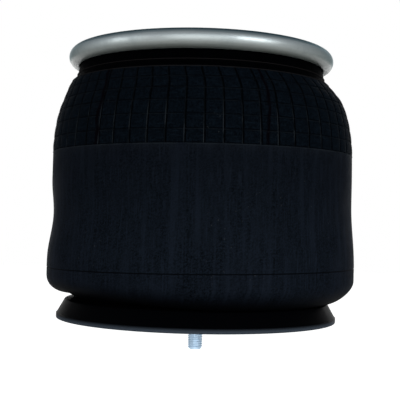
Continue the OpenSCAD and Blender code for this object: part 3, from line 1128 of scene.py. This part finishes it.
@dataclass(frozen=True)
class Slack:
    """How the empty bellows hangs, in millimetres and degrees."""

    sizes: SpringSizes = SIZES
    swell_w: float = 0.6
    swell_h: float = 30.0
    filled_w: float = 0.9
    lean: float = 3.0
    waist_w: float = 2.2
    waist_z: float = 84.0
    waist_h: float = 34.0
    waist_side: float = 0.3
    groove_drop: float = 0.4
    groove_tilt: float = 0.016
    groove_reach: float = 12.0
    seam_drop: float = 3.2
    seam_tilt: float = 0.006
    seam_up: float = 34.0
    seam_down: float = 48.0
    uneven_w: float = 0.45
    uneven_scale: float = 22.0
    pucker_angle: float = -56.0
    pucker_spread: float = 70.0
    pucker_h: float = 6.0
    pucker_reach: float = 8.0

    def settle(self, point: Vector) -> Vector:
        """Moves a point of the outer wall as the empty bellows sags.

        The wall swells above the lobe, leans a little to the right, has a waist on the
        left and is never quite even. The seam dips, the groove slants, and the lobe's
        underside is drawn up at the front left.

        Args:
            point: a point in metres.

        Returns:
            The moved point.
        """
        s = self.sizes
        radius = math.hypot(point.x, point.y)
        height = point.z / MM
        outer = smooth_share(radius / MM, s.lobe_x, s.bellows_r - s.wall_t)
        lifted = smooth_share(height, s.seat_z, s.lobe_z)
        swelling = self.swell_w * smooth_share(height, s.seam_z - self.swell_h, s.groove_z)
        swelling += self.filled_w * smooth_share(height, s.join_z, s.seam_z)
        uneven = self.uneven_w * noise.noise(point * self.uneven_scale)
        drawn_in = smooth_share(abs(height - self.waist_z), self.waist_h, 0.0)
        uneven -= self.waist_w * drawn_in * smooth_share(-point.x / radius, self.waist_side, 1.0)
        outward = Vector((point.x, point.y, 0.0)) / radius
        moved = point + outward * ((swelling + uneven) * outer * lifted * MM)
        moved.x += self.lean * outer * lifted * MM
        near = smooth_share(abs(height - s.groove_z), self.groove_reach, 0.0) * outer
        moved.z += (self.groove_tilt * point.x - self.groove_drop * MM) * near
        reach = self.seam_up if height > s.seam_z else self.seam_down
        at_seam = smooth_share(abs(height - s.seam_z), reach, 0.0) * outer
        moved.z += (self.seam_tilt * point.x - self.seam_drop * MM) * at_seam
        turn = math.degrees(math.atan2(point.x, -point.y)) - self.pucker_angle
        window = smooth_share(abs(turn), self.pucker_spread, 0.0)
        under = smooth_share(height, s.lobe_z + s.groove_h, s.seat_z)
        side = smooth_share(radius / MM, s.lobe_x - self.pucker_reach, s.lobe_x)
        moved.z += self.pucker_h * window * under * side * MM
        return moved


@dataclass
class Bellows:
    """The rubber bellows, zone by zone, each on the body that carries it.

    Lengths are in millimetres. A profile lists steps along the outline with the depth
    of a furrow there, or below 0 the height of a ridge.
    """

    sizes: SpringSizes = SIZES
    slack: Slack = Slack()
    columns: int = 56
    rows: int = 6
    front_phase: float = 0.33
    ridge_back: float = 5.7
    ridge_step: float = 0.22
    line_depth: float = 0.35
    line_side: float = 0.35
    line_start: Span = (0.02, 0.2)
    line_waves: float = 60.0
    line_share: float = 0.75
    line_waver: float = 0.5
    pillow: float = 0.25
    seam_room: float = 4.5
    groove_half: float = 0.5
    groove_depth: float = 0.45
    end_loop: float = 0.05
    joint_gap: float = 0.02
    lip_drop: float = 1.0
    lip_r: float = 0.5
    lip_in: float = 0.2
    lip_under: float = 0.55
    lip_open: float = 10.0
    bead_open: float = 20.0
    curve_steps: int = 400
    bead_steps: int = 20
    lining_steps: int = 12
    lip_steps: int = 4
    wall_rows: int = 20
    strip_rows: int = 5
    rise_rows: int = 4
    lobe_rows: int = 40
    lobe_lining_rows: int = 24
    leg_rows: int = 10
    turn_steps: int = 10
    lower_bead_steps: int = 16
    wall_steps: int = 288
    leg_steps: int = 144
    column_shares: tuple[float, ...] = (0.0, 0.027, 0.065, 0.28, 0.5, 0.72, 0.935, 0.973)
    row_shares: tuple[float, ...] = (0.3, 0.5, 0.7)
    seam_profile: Profile = ((0.0, 0.0), (0.5, 0.0), (1.0, 0.0))
    line_profile: Profile = ((-0.9, 0.0), (-0.4, 0.35), (0.0, 1.0), (0.4, 0.35), (0.9, 0.0))
    ridge_profile: Profile = ((-1.2, 0.0), (-0.6, -1.0), (0.0, -2.0), (0.6, -1.0), (1.2, 0.0),
                              (3.0, 0.0))
    band_profile: Profile = ((0.04, 0.0), (0.10, 0.0), (0.16, -1.0), (0.22, -2.0), (0.28, -1.0),
                             (0.34, 0.0), (0.7, 0.0), (1.0, 0.0))

    @property
    def strip_h(self) -> float:
        """Height of the grooved strip, at whose end the groove's slant has faded."""
        return self.slack.groove_reach

    @property
    def past_rows(self) -> float:
        """Count of rows that stands for any place above the grid."""
        return self.rows + 0.5

    def shoulder(self, angle: float, depth: float = 0.0) -> Span:
        """Point of the shoulder's curve.

        Args:
            angle: angle on its ellipse from the seam, in radians.
            depth: distance inwards from the outer face, in millimetres.

        Returns:
            Radius and height in millimetres.
        """
        s = self.sizes
        outward = Vector((math.cos(angle) / s.shoulder_w, math.sin(angle) / s.shoulder_h))
        outward.normalize()
        radius = s.bellows_r - s.shoulder_w + s.shoulder_w * math.cos(angle) - depth * outward.x
        return radius, s.seam_z + s.shoulder_h * math.sin(angle) - depth * outward.y

    def shoulder_lengths(self) -> tuple[list[float], list[float]]:
        """Length along the shoulder's curve at small steps of its angle.

        Returns:
            The angles and the lengths from the seam, in radians and millimetres.
        """
        steps = self.curve_steps
        angles = [self.sizes.join_angle * i / steps for i in range(steps + 1)]
        lengths = [0.0]
        for first, second in zip(angles, angles[1:]):
            lengths.append(lengths[-1] + math.dist(self.shoulder(first), self.shoulder(second)))
        return angles, lengths

    def shown_rings(self) -> list[Ring]:
        """Rings of the neck's outer face, gathered at the mould's lines and ridges.

        Returns:
            The place of each ring, the furrow or ridge there, its count of rows, and 1
            where the grid shows.
        """
        s = self.sizes
        angles, lengths = self.shoulder_lengths()
        ridge_at = lengths[-1] - self.ridge_back
        pitch = ridge_at / self.rows
        marks = [*self.seam_profile, (lengths[-1], 0.0)]
        for row in range(1, self.rows):
            marks += [(row * pitch + shift, line) for shift, line in self.line_profile]
        for row in range(self.rows):
            marks += [((row + share) * pitch, 0.0) for share in self.row_shares]
        marks += [(ridge_at + shift, line) for shift, line in self.ridge_profile]
        rings: list[Ring] = []
        for length, line in sorted(marks):
            angle = angles[min(bisect_left(lengths, length), len(lengths) - 1)]
            shown = 1.0 if length <= ridge_at else 0.0
            rings.append((place(*self.shoulder(angle)), line, length / pitch, shown))
        for share, line in self.band_profile:
            point = place(s.join_r - s.neck_spread * share, s.join_z + s.neck_band_h * share)
            rings.append((point, line, self.past_rows, 0.0))
        return rings

    def hidden_rings(self) -> list[Ring]:
        """Rings of the bead inside the rolled rim and of the neck's inner face.

        Returns:
            The rings, as shown_rings gives them.
        """
        s = self.sizes
        bead_r = s.curl_r - s.plate_t - s.rubber_gap
        reach = math.degrees(math.acos((s.curl_x - s.neck_r) / bead_r))
        hidden = arc((s.curl_x, s.curl_z), bead_r, -180 + reach, 180 - reach, self.bead_steps)
        hidden += [place(s.neck_r, s.plate_z), place(s.neck_r - s.wall_t, s.plate_z),
                   place(s.neck_r - s.wall_t, s.rim_z)]
        hidden += [place(*self.shoulder(s.join_angle * i / self.lining_steps, s.wall_t))
                   for i in range(self.lining_steps, -1, -1)]
        return [(point, 0.0, self.past_rows, 0.0) for point in hidden]

    def neck(self, finishes: Finishes) -> bpy.types.Object:
        """Builds the shoulder and neck with the mould's grid, two ridges and the bead.

        Args:
            finishes: the spring's materials.

        Returns:
            The piece.
        """
        s = self.sizes
        outline, *values = (list(part) for part in zip(*self.shown_rings(),
                                                       *self.hidden_rings()))
        values.append([0.0] * len(outline))
        mesh = spin_outline(outline, self.columns * len(self.column_shares),
                            dict(zip(GRID_LAYERS, values)))
        self._score(mesh)
        piece = finish_piece("shoulder_of_bellows", mesh, finishes.ribbed)
        self._grid_attribute(piece)
        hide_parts("bellows_neck")
        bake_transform(piece, "sleeve", "head", start=(0, 0, s.seam_z * MM), end=(0, 0, s.join_z * MM))
        return piece

    def _score(self, mesh: bmesh.types.BMesh) -> None:
        """Gathers the columns at the mould's lines, presses the lines in and settles.

        Args:
            mesh: the spun neck, whose points carry row_line, meridian and shown.
        """
        row_line, meridian, shown, grid = (mesh.verts.layers.float[name]
                                           for name in GRID_LAYERS)
        per_column = len(self.column_shares)
        step = math.tau / (self.columns * per_column)
        back = math.radians(90 + self.front_phase)
        line_of = {0: 1.0, 1: self.line_side, per_column - 1: self.line_side}
        mesh.normal_update()
        moves = []
        for vertex in mesh.verts:
            radius = math.hypot(vertex.co.x, vertex.co.y)
            turn = math.atan2(vertex.co.y, vertex.co.x) - math.pi / 2
            count = round(turn / step) % (self.columns * per_column)
            column, phase = divmod(count, per_column)
            place_in_ring = column + self.column_shares[phase]
            angle = back + place_in_ring * math.tau / self.columns
            flat = Vector((math.cos(angle), math.sin(angle), 0.0))
            old = Vector((vertex.co.x / radius, vertex.co.y / radius, 0.0))
            outward = flat * vertex.normal.dot(old) + Vector((0, 0, vertex.normal.z))
            target = flat * radius + Vector((0, 0, vertex.co.z))
            row = vertex[meridian]
            if vertex[row_line] < 0:
                target += outward * (self.ridge_step * MM * -vertex[row_line])
            elif vertex[shown] > 0 and row < self.rows:
                across = line_of.get(phase, 0.0) * smooth_share(row, *self.line_start)
                wave = self.line_waver * noise.noise(target * self.line_waves)
                depth = max(across, vertex[row_line]) * (self.line_share + wave)
                inside = math.sin(math.pi * (row % 1.0))
                inside *= math.sin(math.pi * self.column_shares[phase])
                target += outward * MM * (self.pillow * inside - self.line_depth * depth)
            vertex[grid] = place_in_ring
            moves.append(target)
        for vertex, target in zip(mesh.verts, moves):
            vertex.co = self.slack.settle(target)
        bmesh.ops.recalc_face_normals(mesh, faces=mesh.faces[:])

    def _grid_attribute(self, piece: bpy.types.Object) -> None:
        """Writes the count of columns and rows at each corner for the finish to read.

        Args:
            piece: the neck's object.
        """
        data = piece.data
        _, rows, shown, columns = (data.attributes[name].data for name in GRID_LAYERS)
        grid = data.attributes.new(GRID_ATTRIBUTE, "FLOAT_VECTOR", "CORNER")
        for face in data.polygons:
            loops = list(face.loop_indices)
            points = [data.loops[i].vertex_index for i in loops]
            counts = [columns[p].value for p in points]
            wraps = max(counts) - min(counts) > self.columns / 2
            for loop, point, count in zip(loops, points, counts):
                turned = count + self.columns if wraps and count < self.columns / 2 else count
                inside = shown[point].value * (1.0 if rows[point].value < self.rows else 0.0)
                grid.data[loop].vector = (turned, rows[point].value, inside)

    def wall_ring(self, height: float) -> Span:
        """Outer radius of the wall at a height, with the height, in millimetres.

        Args:
            height: the height in millimetres.

        Returns:
            The radius and the height.
        """
        s = self.sizes
        share = min(max((height - s.groove_z) / s.bulge_h, 0.0), 1.0)
        return s.bellows_r + s.lobe_bulge * (1 + math.cos(math.pi * share)) / 2, height

    def wall_rings(self, low: float, high: float, steps: int) -> list[Span]:
        """Rings of the wall, with one more close to each end so that the ends stay crisp.

        Args:
            low: lowest height, in millimetres.
            high: highest height, in millimetres.
            steps: number of stretches between the ends.

        Returns:
            Radii and heights in millimetres.
        """
        between = (low + (high - low) * i / steps for i in range(1, steps))
        levels = [low, low + self.end_loop, *between, high - self.end_loop, high]
        return [self.wall_ring(level) for level in levels]

    def sleeve(self, finishes: Finishes) -> bpy.types.Object:
        """Builds the smooth wall above the grooved strip, with a rounded step at the seam.

        Args:
            finishes: the spring's materials.

        Returns:
            The piece.
        """
        s = self.sizes
        split_z = s.groove_z + self.strip_h
        outer = self.wall_rings(split_z + self.joint_gap, s.seam_z - self.lip_drop,
                                self.wall_rows)
        outline = [place(*point) for point in outer]
        outline += arc((s.bellows_r - self.lip_in, s.seam_z - self.lip_under), self.lip_r,
                       self.lip_open, 90, self.lip_steps)
        outline += [place(s.bellows_r - s.wall_t, s.seam_z)]
        outline += [place(radius - s.wall_t, z) for radius, z in reversed(outer)]
        mesh = spin_outline(outline, self.wall_steps)
        piece = finish_piece("wall_of_bellows", mesh, finishes.smooth,
                             self.slack.settle)
        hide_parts("bellows_sleeve")
        full_z = s.seam_z - self.seam_room
        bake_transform(piece, "piston", "sleeve", start=(0, 0, (2 * split_z - full_z) * MM),
                 end=(0, 0, full_z * MM))
        return piece

    def lobe(self, finishes: Finishes) -> bpy.types.Object:
        """Builds the half ring that rolls on the piston, with the grooved strip above it.

        Args:
            finishes: the spring's materials.

        Returns:
            The piece.
        """
        s = self.sizes
        middle = (s.lobe_x, s.lobe_z)
        edge_r = s.lobe_x + s.lobe_r
        strip = self.wall_rings(s.groove_z + self.groove_half, s.groove_z + self.strip_h,
                                self.strip_rows)
        outline = arc(middle, s.lobe_r, -180, 0, self.lobe_rows)
        outline += [place(edge_r, s.lobe_z + s.groove_h * i / self.rise_rows)
                    for i in range(1, self.rise_rows)]
        outline += [place(edge_r, s.groove_z - self.groove_half),
                    place(edge_r - self.groove_depth, s.groove_z)]
        outline += [place(*point) for point in strip]
        outline += [place(radius - s.wall_t, z) for radius, z in reversed(strip)]
        outline += arc(middle, s.lobe_r - s.wall_t, 0, -180, self.lobe_lining_rows)
        mesh = spin_outline(outline, self.wall_steps)
        piece = finish_piece("lobe_of_bellows", mesh, finishes.smooth,
                             self.slack.settle)
        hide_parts("bellows_lobe")
        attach(piece, "lobe")
        return piece

    def leg(self, finishes: Finishes) -> bpy.types.Object:
        """Builds the hidden leg along the piston, over its shoulder to the lower bead.

        Args:
            finishes: the spring's materials.

        Returns:
            The piece.
        """
        s = self.sizes
        top = s.deck_z + s.rubber_gap
        turn = (s.piston_r - s.deck_round, s.deck_z - s.deck_round)
        near = s.deck_round + s.rubber_gap
        bead_r = s.lower_bead_d / 2
        levels = [s.lobe_z + (turn[1] - s.lobe_z) * i / self.leg_rows
                  for i in range(self.leg_rows)]
        outline = [place(s.leg_r + s.wall_t, level) for level in levels]
        outline += arc(turn, near + s.wall_t, 0, 90, self.turn_steps)
        outline += arc((s.lower_bead_r, top + bead_r), bead_r, self.bead_open, 270,
                       self.lower_bead_steps)
        outline += arc(turn, near, 90, 0, self.turn_steps)
        outline += [place(s.leg_r, level) for level in reversed(levels)]
        mesh = spin_outline(outline, self.leg_steps)
        piece = finish_piece("inner_leg_of_bellows", mesh, finishes.smooth)
        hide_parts("bellows_inner")
        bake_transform(piece, "piston", "lobe", start=(0, 0, s.deck_z * MM), end=(0, 0, s.lobe_z * MM))
        return piece

    def build(self, finishes: Finishes) -> None:
        """Builds every zone of the bellows."""
        for zone in (self.neck, self.sleeve, self.lobe, self.leg):
            zone(finishes)


# Stud, nuts and port


@dataclass(frozen=True)
class Thread:
    """A helical ridge, outside a shank or inside a bore, in millimetres."""

    root: float
    crest: float
    low: float
    high: float
    pitch: float = 1.954
    foot_share: float = 0.46
    flat: float = 0.3
    sunk: float = 0.3
    chamfer: float = 1.6
    steps_a_turn: int = 36

    def ridge(self) -> bmesh.types.BMesh:
        """Spins the ridge, fading at its ends.

        Returns:
            The ridge's mesh.
        """
        side = 1.0 if self.crest > self.root else -1.0
        half = self.pitch * self.foot_share
        foot = self.root - side * self.sunk
        corners = [(foot, self.low), (self.crest, self.low + half - self.flat),
                   (self.crest, self.low + half + self.flat), (foot, self.low + 2 * half)]
        mesh = bmesh.new()
        face = mesh.faces.new([mesh.verts.new(place(*corner)) for corner in corners])
        turns = (self.high - self.low - 2 * half) / self.pitch
        bmesh.ops.spin(mesh, geom=[face] + list(face.edges) + list(face.verts), cent=(0, 0, 0),
                       axis=(0, 0, 1), dvec=(0, 0, self.pitch * MM / self.steps_a_turn),
                       angle=math.tau * turns, steps=round(turns * self.steps_a_turn),
                       use_merge=False, use_duplicate=False)
        for vertex in mesh.verts:
            radius = math.hypot(vertex.co.x, vertex.co.y) / MM
            height = vertex.co.z / MM
            lead = min(height - self.low, self.high - height)
            limit = self.crest + side * (lead - self.chamfer)
            if side * radius > side * limit:
                vertex.co.x *= limit / radius
                vertex.co.y *= limit / radius
        bmesh.ops.recalc_face_normals(mesh, faces=mesh.faces[:])
        return mesh


def add_threads(whole: bmesh.types.BMesh, *threads: Thread) -> None:
    """Adds the ridges of some threads to a mesh.

    Args:
        whole: the mesh of the shank or bore.
        threads: the threads.
    """
    for thread in threads:
        ridge = thread.ridge()
        data = bpy.data.meshes.new("thread")
        ridge.to_mesh(data)
        ridge.free()
        whole.from_mesh(data)
        bpy.data.meshes.remove(data)


@dataclass
class CentreStud:
    """The long stud with its collar, threaded at both ends."""

    sizes: SpringSizes = SIZES
    depth: float = 0.75
    lower_thread: float = 46.0
    upper_thread: float = 15.0
    collar_chamfer: float = 0.4
    run_out: float = 1.0
    steps: int = 72

    def shank(self) -> bmesh.types.BMesh:
        """Spins the plain shank, thinner where the threads stand, with its collar.

        Returns:
            The mesh.
        """
        s = self.sizes
        root = s.stud_r - self.depth
        tip = s.stud_r - s.stud_chamfer
        low, top = s.stud_low_z, s.stud_top_z
        lower_end = low + self.lower_thread
        upper_end = top - self.upper_thread
        collar_top = s.collar_z + s.collar_h
        chamfer = self.collar_chamfer
        corners = [
            (0, low), (tip, low), (root, low + s.stud_chamfer / 2), (root, lower_end),
            (s.stud_r, lower_end + self.run_out), (s.stud_r, s.collar_z),
            (s.collar_r - chamfer, s.collar_z), (s.collar_r, s.collar_z + chamfer),
            (s.collar_r, collar_top - chamfer), (s.collar_r - chamfer, collar_top),
            (s.stud_r, collar_top), (root, upper_end + self.run_out),
            (root, top - s.stud_chamfer / 2), (tip, top), (0, top)]
        return spin_outline([place(*corner) for corner in corners], self.steps, closed=False)

    def build(self, finishes: Finishes) -> None:
        """Builds the shank and both threads as one piece.

        Args:
            finishes: the spring's materials.
        """
        s = self.sizes
        whole = self.shank()
        root = s.stud_r - self.depth
        low, top = s.stud_low_z, s.stud_top_z
        add_threads(whole, Thread(root, s.stud_r, low, low + self.lower_thread),
                    Thread(root, s.stud_r, top - self.upper_thread, top))
        piece = finish_piece("threaded_stud", whole, finishes.stud,
                             crease=METAL_CREASE)
        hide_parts("centre_stud")
        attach(piece, "piston")


@dataclass
class ThreadedInsert:
    """A boss in the plate with its spigot flush on top, and the thread in its hole.

    Where floor_z is given the hole is blind and ends there.
    """

    node: str
    piece: str
    centre: Span
    body_r: float
    end_z: float
    end_round: float
    thread_r: float
    depth: float
    floor_z: float | None = None
    sizes: SpringSizes = SIZES
    flange_w: float = 3.5
    flange_t: float = 3.0
    chamfer: float = 0.6
    thread_chamfer: float = 1.0
    round_steps: int = 6
    steps: int = 72

    def outline(self) -> tuple[Outline, bool]:
        """Outline of the boss.

        Returns:
            Its points, and whether they close a loop.
        """
        s = self.sizes
        flange_r = self.body_r + self.flange_w
        flange_z = s.plate_z - self.flange_t
        turn = (self.body_r - self.end_round, self.end_z + self.end_round)
        body = arc(turn, self.end_round, -90, 0, self.round_steps)
        body += [place(*corner) for corner in (
            (self.body_r, flange_z), (flange_r - self.chamfer, flange_z),
            (flange_r, flange_z + self.chamfer), (flange_r, s.plate_z),
            (self.body_r, s.plate_z), (self.body_r, s.height),
            (self.thread_r + self.chamfer, s.height), (self.thread_r, s.height - self.chamfer))]
        if self.floor_z is None:
            return body + [place(self.thread_r, self.end_z)], True
        drilled = [place(self.thread_r, self.floor_z), place(0, self.floor_z - self.chamfer)]
        return [place(0, self.end_z)] + body + drilled, False

    def build(self, finishes: Finishes) -> None:
        """Builds the boss with its thread at its place in the plate.

        Args:
            finishes: the spring's materials.
        """
        points, closed = self.outline()
        whole = spin_outline(points, self.steps, closed=closed)
        low = self.end_z if self.floor_z is None else self.floor_z
        add_threads(whole, Thread(self.thread_r, self.thread_r - self.depth, low + self.chamfer,
                                  self.sizes.height - self.chamfer / 2,
                                  chamfer=self.thread_chamfer))
        across, back = self.centre
        bmesh.ops.translate(whole, verts=whole.verts[:], vec=(across * MM, back * MM, 0))
        piece = finish_piece(self.piece, whole, finishes.nut, crease=METAL_CREASE)
        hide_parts(self.node)
        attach(piece, "head")


@dataclass
class PlateFittings:
    """The two blind nuts and the air port in the bead plate."""

    nut_x: float = 78.75
    nut_body_r: float = 9.35
    nut_end_z: float = 210.0
    nut_round: float = 2.0
    nut_thread_r: float = 6.35
    nut_depth: float = 1.0
    nut_floor_z: float = 214.0
    port_y: float = -73.0
    port_body_r: float = 11.05
    port_end_z: float = 212.2
    port_round: float = 1.0
    port_thread_r: float = 6.5
    port_depth: float = 0.95

    def build(self, finishes: Finishes) -> None:
        """Builds the three fittings.

        Args:
            finishes: the spring's materials.
        """
        for side, node in ((-1, "blind_nut_left"), (1, "blind_nut_right")):
            ThreadedInsert(node, f"threaded_{node}", (side * self.nut_x, 0.0), self.nut_body_r,
                           self.nut_end_z, self.nut_round, self.nut_thread_r, self.nut_depth,
                           self.nut_floor_z).build(finishes)
        ThreadedInsert("air_port_boss", "threaded_air_port", (0.0, self.port_y),
                       self.port_body_r, self.port_end_z, self.port_round, self.port_thread_r,
                       self.port_depth).build(finishes)


@dataclass
class BaseNut:
    """The hexagon nut under the piston's hub, chamfered on both faces."""

    across_flats: float = 19.0
    height: float = 11.1
    low_z: float = 2.3
    bore_r: float = 6.1
    washer_share: float = 0.95
    slope: float = 0.577
    bore_chamfer: float = 0.5
    rim_h: float = 1.0
    steps: int = 72

    def build(self, finishes: Finishes) -> None:
        """Spins the nut and presses its rim out to a hexagon.

        Args:
            finishes: the spring's materials.
        """
        inner_r = self.across_flats / 2
        face_r = inner_r * self.washer_share
        low, top = self.low_z, self.low_z + self.height
        mouth_r = self.bore_r + self.bore_chamfer
        corners = [(self.bore_r, low + self.bore_chamfer), (mouth_r, low), (face_r, low),
                   (inner_r, low + self.rim_h), (inner_r, top - self.rim_h), (face_r, top),
                   (mouth_r, top), (self.bore_r, top - self.bore_chamfer)]
        mesh = spin_outline([place(*corner) for corner in corners], self.steps)
        middle = (low + top) / 2 * MM
        for vertex in mesh.verts:
            radius = math.hypot(vertex.co.x, vertex.co.y) / MM
            if radius < (face_r + inner_r) / 2:
                continue
            turn = math.degrees(math.atan2(vertex.co.y, vertex.co.x)) % 60 - 30
            corner_r = inner_r / math.cos(math.radians(turn))
            vertex.co.x *= corner_r / radius
            vertex.co.y *= corner_r / radius
            drop = (corner_r - face_r) * self.slope * MM
            vertex.co.z = low * MM + drop if vertex.co.z < middle else top * MM - drop
        bmesh.ops.recalc_face_normals(mesh, faces=mesh.faces[:])
        piece = finish_piece("chamfered_base_nut", mesh, finishes.stud,
                             crease=METAL_CREASE)
        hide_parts("base_nut")
        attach(piece, "piston")


# Pieces that keep their solid shape


@dataclass
class RigidPieces:
    """Dresses the solids whose shape is already right."""

    def build(self, finishes: Finishes) -> None:
        """Gives each solid its finish.

        Args:
            finishes: the spring's materials.
        """
        dressing = {
            finishes.rolled: ("bead_plate", "closure_plate"),
            finishes.wire: ("upper_bead_wire", "lower_bead_wire", "spacer_tube", "bumper_insert"),
            finishes.stud: ("base_washer", "lock_washer"),
            finishes.bumper: ("bumper",),
            finishes.seal: ("stud_seal",),
            finishes.nylon: ("piston", "piston_core"),
        }
        for material, names in dressing.items():
            for name in names:
                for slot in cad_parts[name].material_slots:
                    slot.material = material
                LOG.info("%s: dressed with %s", name, material.name)


# Stage


@dataclass(frozen=True)
class Lamp:
    """A square area lamp that faces the spring's upper half."""

    name: str
    where: Triple
    size: float
    power: float
    aim: Triple = (0.0, 0.0, 0.12)

    def build(self) -> None:
        """Adds the lamp to the scene."""
        data = bpy.data.lights.new(self.name, "AREA")
        data.size = self.size
        data.energy = self.power
        lamp = bpy.data.objects.new(self.name, data)
        lamp.location = self.where
        facing = Vector(self.aim) - Vector(self.where)
        lamp.rotation_euler = facing.to_track_quat("-Z", "Y").to_euler()
        bpy.context.scene.collection.objects.link(lamp)


@dataclass
class Stage:
    """Floor, light and the camera at the photograph's place."""

    frame_px: float = 400.0
    focal_px: float = 900.0
    sensor: float = 36.0
    distance: float = 0.785
    camera_z: float = 0.080
    horizon_px: float = 225.7
    axis_px: float = 198.2
    roll: float = 1.3
    nearest: float = 0.01
    farthest: float = 20.0
    floor_z: float = -0.25
    floor_half: float = 6.0
    floor_grey: float = 0.55
    floor_rough: float = 0.9
    white: float = 1.0
    ambient: float = 0.03
    lamps: tuple[Lamp, ...] = (
        Lamp("key_soft_box", (0.92, -1.08, 0.42), 0.75, 15.0),
        Lamp("front_soft_box", (-0.2, -1.55, 0.36), 1.2, 12.0),
        Lamp("back_soft_box", (0.35, 1.45, 0.50), 1.4, 12.0),
        Lamp("back_left_soft_box", (-0.45, 1.50, 0.40), 1.0, 6.0),
        Lamp("left_soft_box", (-1.35, -0.60, 0.42), 0.9, 9.0))

    def camera(self) -> None:
        """Places the camera in front of the spring, looking along +Y."""
        data = bpy.data.cameras.new("photo_camera")
        data.sensor_width = self.sensor
        data.lens = self.focal_px / self.frame_px * self.sensor
        data.clip_start = self.nearest
        data.clip_end = self.farthest
        camera = bpy.data.objects.new("photo_camera", data)
        bpy.context.scene.collection.objects.link(camera)
        pitch = math.atan((self.horizon_px - self.frame_px / 2) / self.focal_px)
        side = (self.frame_px / 2 - self.axis_px) / self.focal_px * self.distance
        aim = Matrix.Rotation(math.radians(90) + pitch, 4, "X")
        turn = Matrix.Rotation(math.radians(self.roll), 4, "Z")
        stand = Matrix.Translation((side, -self.distance, self.camera_z))
        camera.matrix_world = stand @ aim @ turn
        bpy.context.scene.camera = camera

    def light(self) -> None:
        """Adds the soft lamps and the white surroundings."""
        for lamp in self.lamps:
            lamp.build()
        world = bpy.data.worlds.new("studio")
        bpy.context.scene.world = world
        world.use_nodes = True
        graph = Graph(world.node_tree)
        back = world.node_tree.nodes["Background"]
        back.inputs["Color"].default_value = rgba(WHITE)
        graph.feed(graph.ramp(self._seen(graph), 0.0, 1.0, self.ambient, self.white),
                   back.inputs["Strength"])

    def _seen(self, graph: Graph) -> Socket:
        """Share that is 1 for camera, glossy and transmission rays.

        Args:
            graph: the graph that it is added to.

        Returns:
            The share's socket.
        """
        rays = graph.node("ShaderNodeLightPath")
        first = graph.larger(rays.outputs["Is Camera Ray"], rays.outputs["Is Glossy Ray"])
        return graph.larger(first, rays.outputs["Is Transmission Ray"])

    def floor(self) -> None:
        """Adds the pale floor, white to the camera and clear from below."""
        mesh = bmesh.new()
        bmesh.ops.create_grid(mesh, x_segments=1, y_segments=1, size=self.floor_half)
        data = bpy.data.meshes.new("floor")
        mesh.to_mesh(data)
        mesh.free()
        floor = bpy.data.objects.new("floor", data)
        floor.location = (0, 0, self.floor_z)
        bpy.context.scene.collection.objects.link(floor)
        material = bpy.data.materials.new("pale_floor")
        material.use_nodes = True
        graph = Graph(material.node_tree)
        shader = material.node_tree.nodes["Principled BSDF"]
        shader.inputs["Base Color"].default_value = rgba(WHITE, self.floor_grey)
        shader.inputs["Roughness"].default_value = self.floor_rough
        shader.inputs["Emission Color"].default_value = rgba(WHITE)
        graph.feed(graph.ramp(self._seen(graph), 0.0, 1.0, 0.0, self.white),
                   shader.inputs["Emission Strength"])
        above = graph.node("ShaderNodeMixShader")
        from_below = graph.node("ShaderNodeNewGeometry").outputs["Backfacing"]
        clear = graph.node("ShaderNodeBsdfTransparent").outputs[0]
        for source, target in zip((from_below, shader.outputs[0], clear), above.inputs):
            graph.feed(source, target)
        graph.feed(above.outputs[0], material.node_tree.nodes["Material Output"].inputs["Surface"])
        data.materials.append(material)

    def build(self) -> None:
        """Sets the whole stage."""
        self.camera()
        self.light()
        self.floor()
        bpy.context.scene.view_settings.view_transform = "Standard"


def main() -> None:
    """Builds the spring's looks and reports each piece."""
    logging.basicConfig(level=logging.INFO, format="%(name)s: %(message)s")
    Stage().build()
    finishes = Finishes()
    for assembly in (Bellows(), CentreStud(), PlateFittings(), BaseNut(), RigidPieces()):
        assembly.build(finishes)


if __name__ == "__main__":
    main()
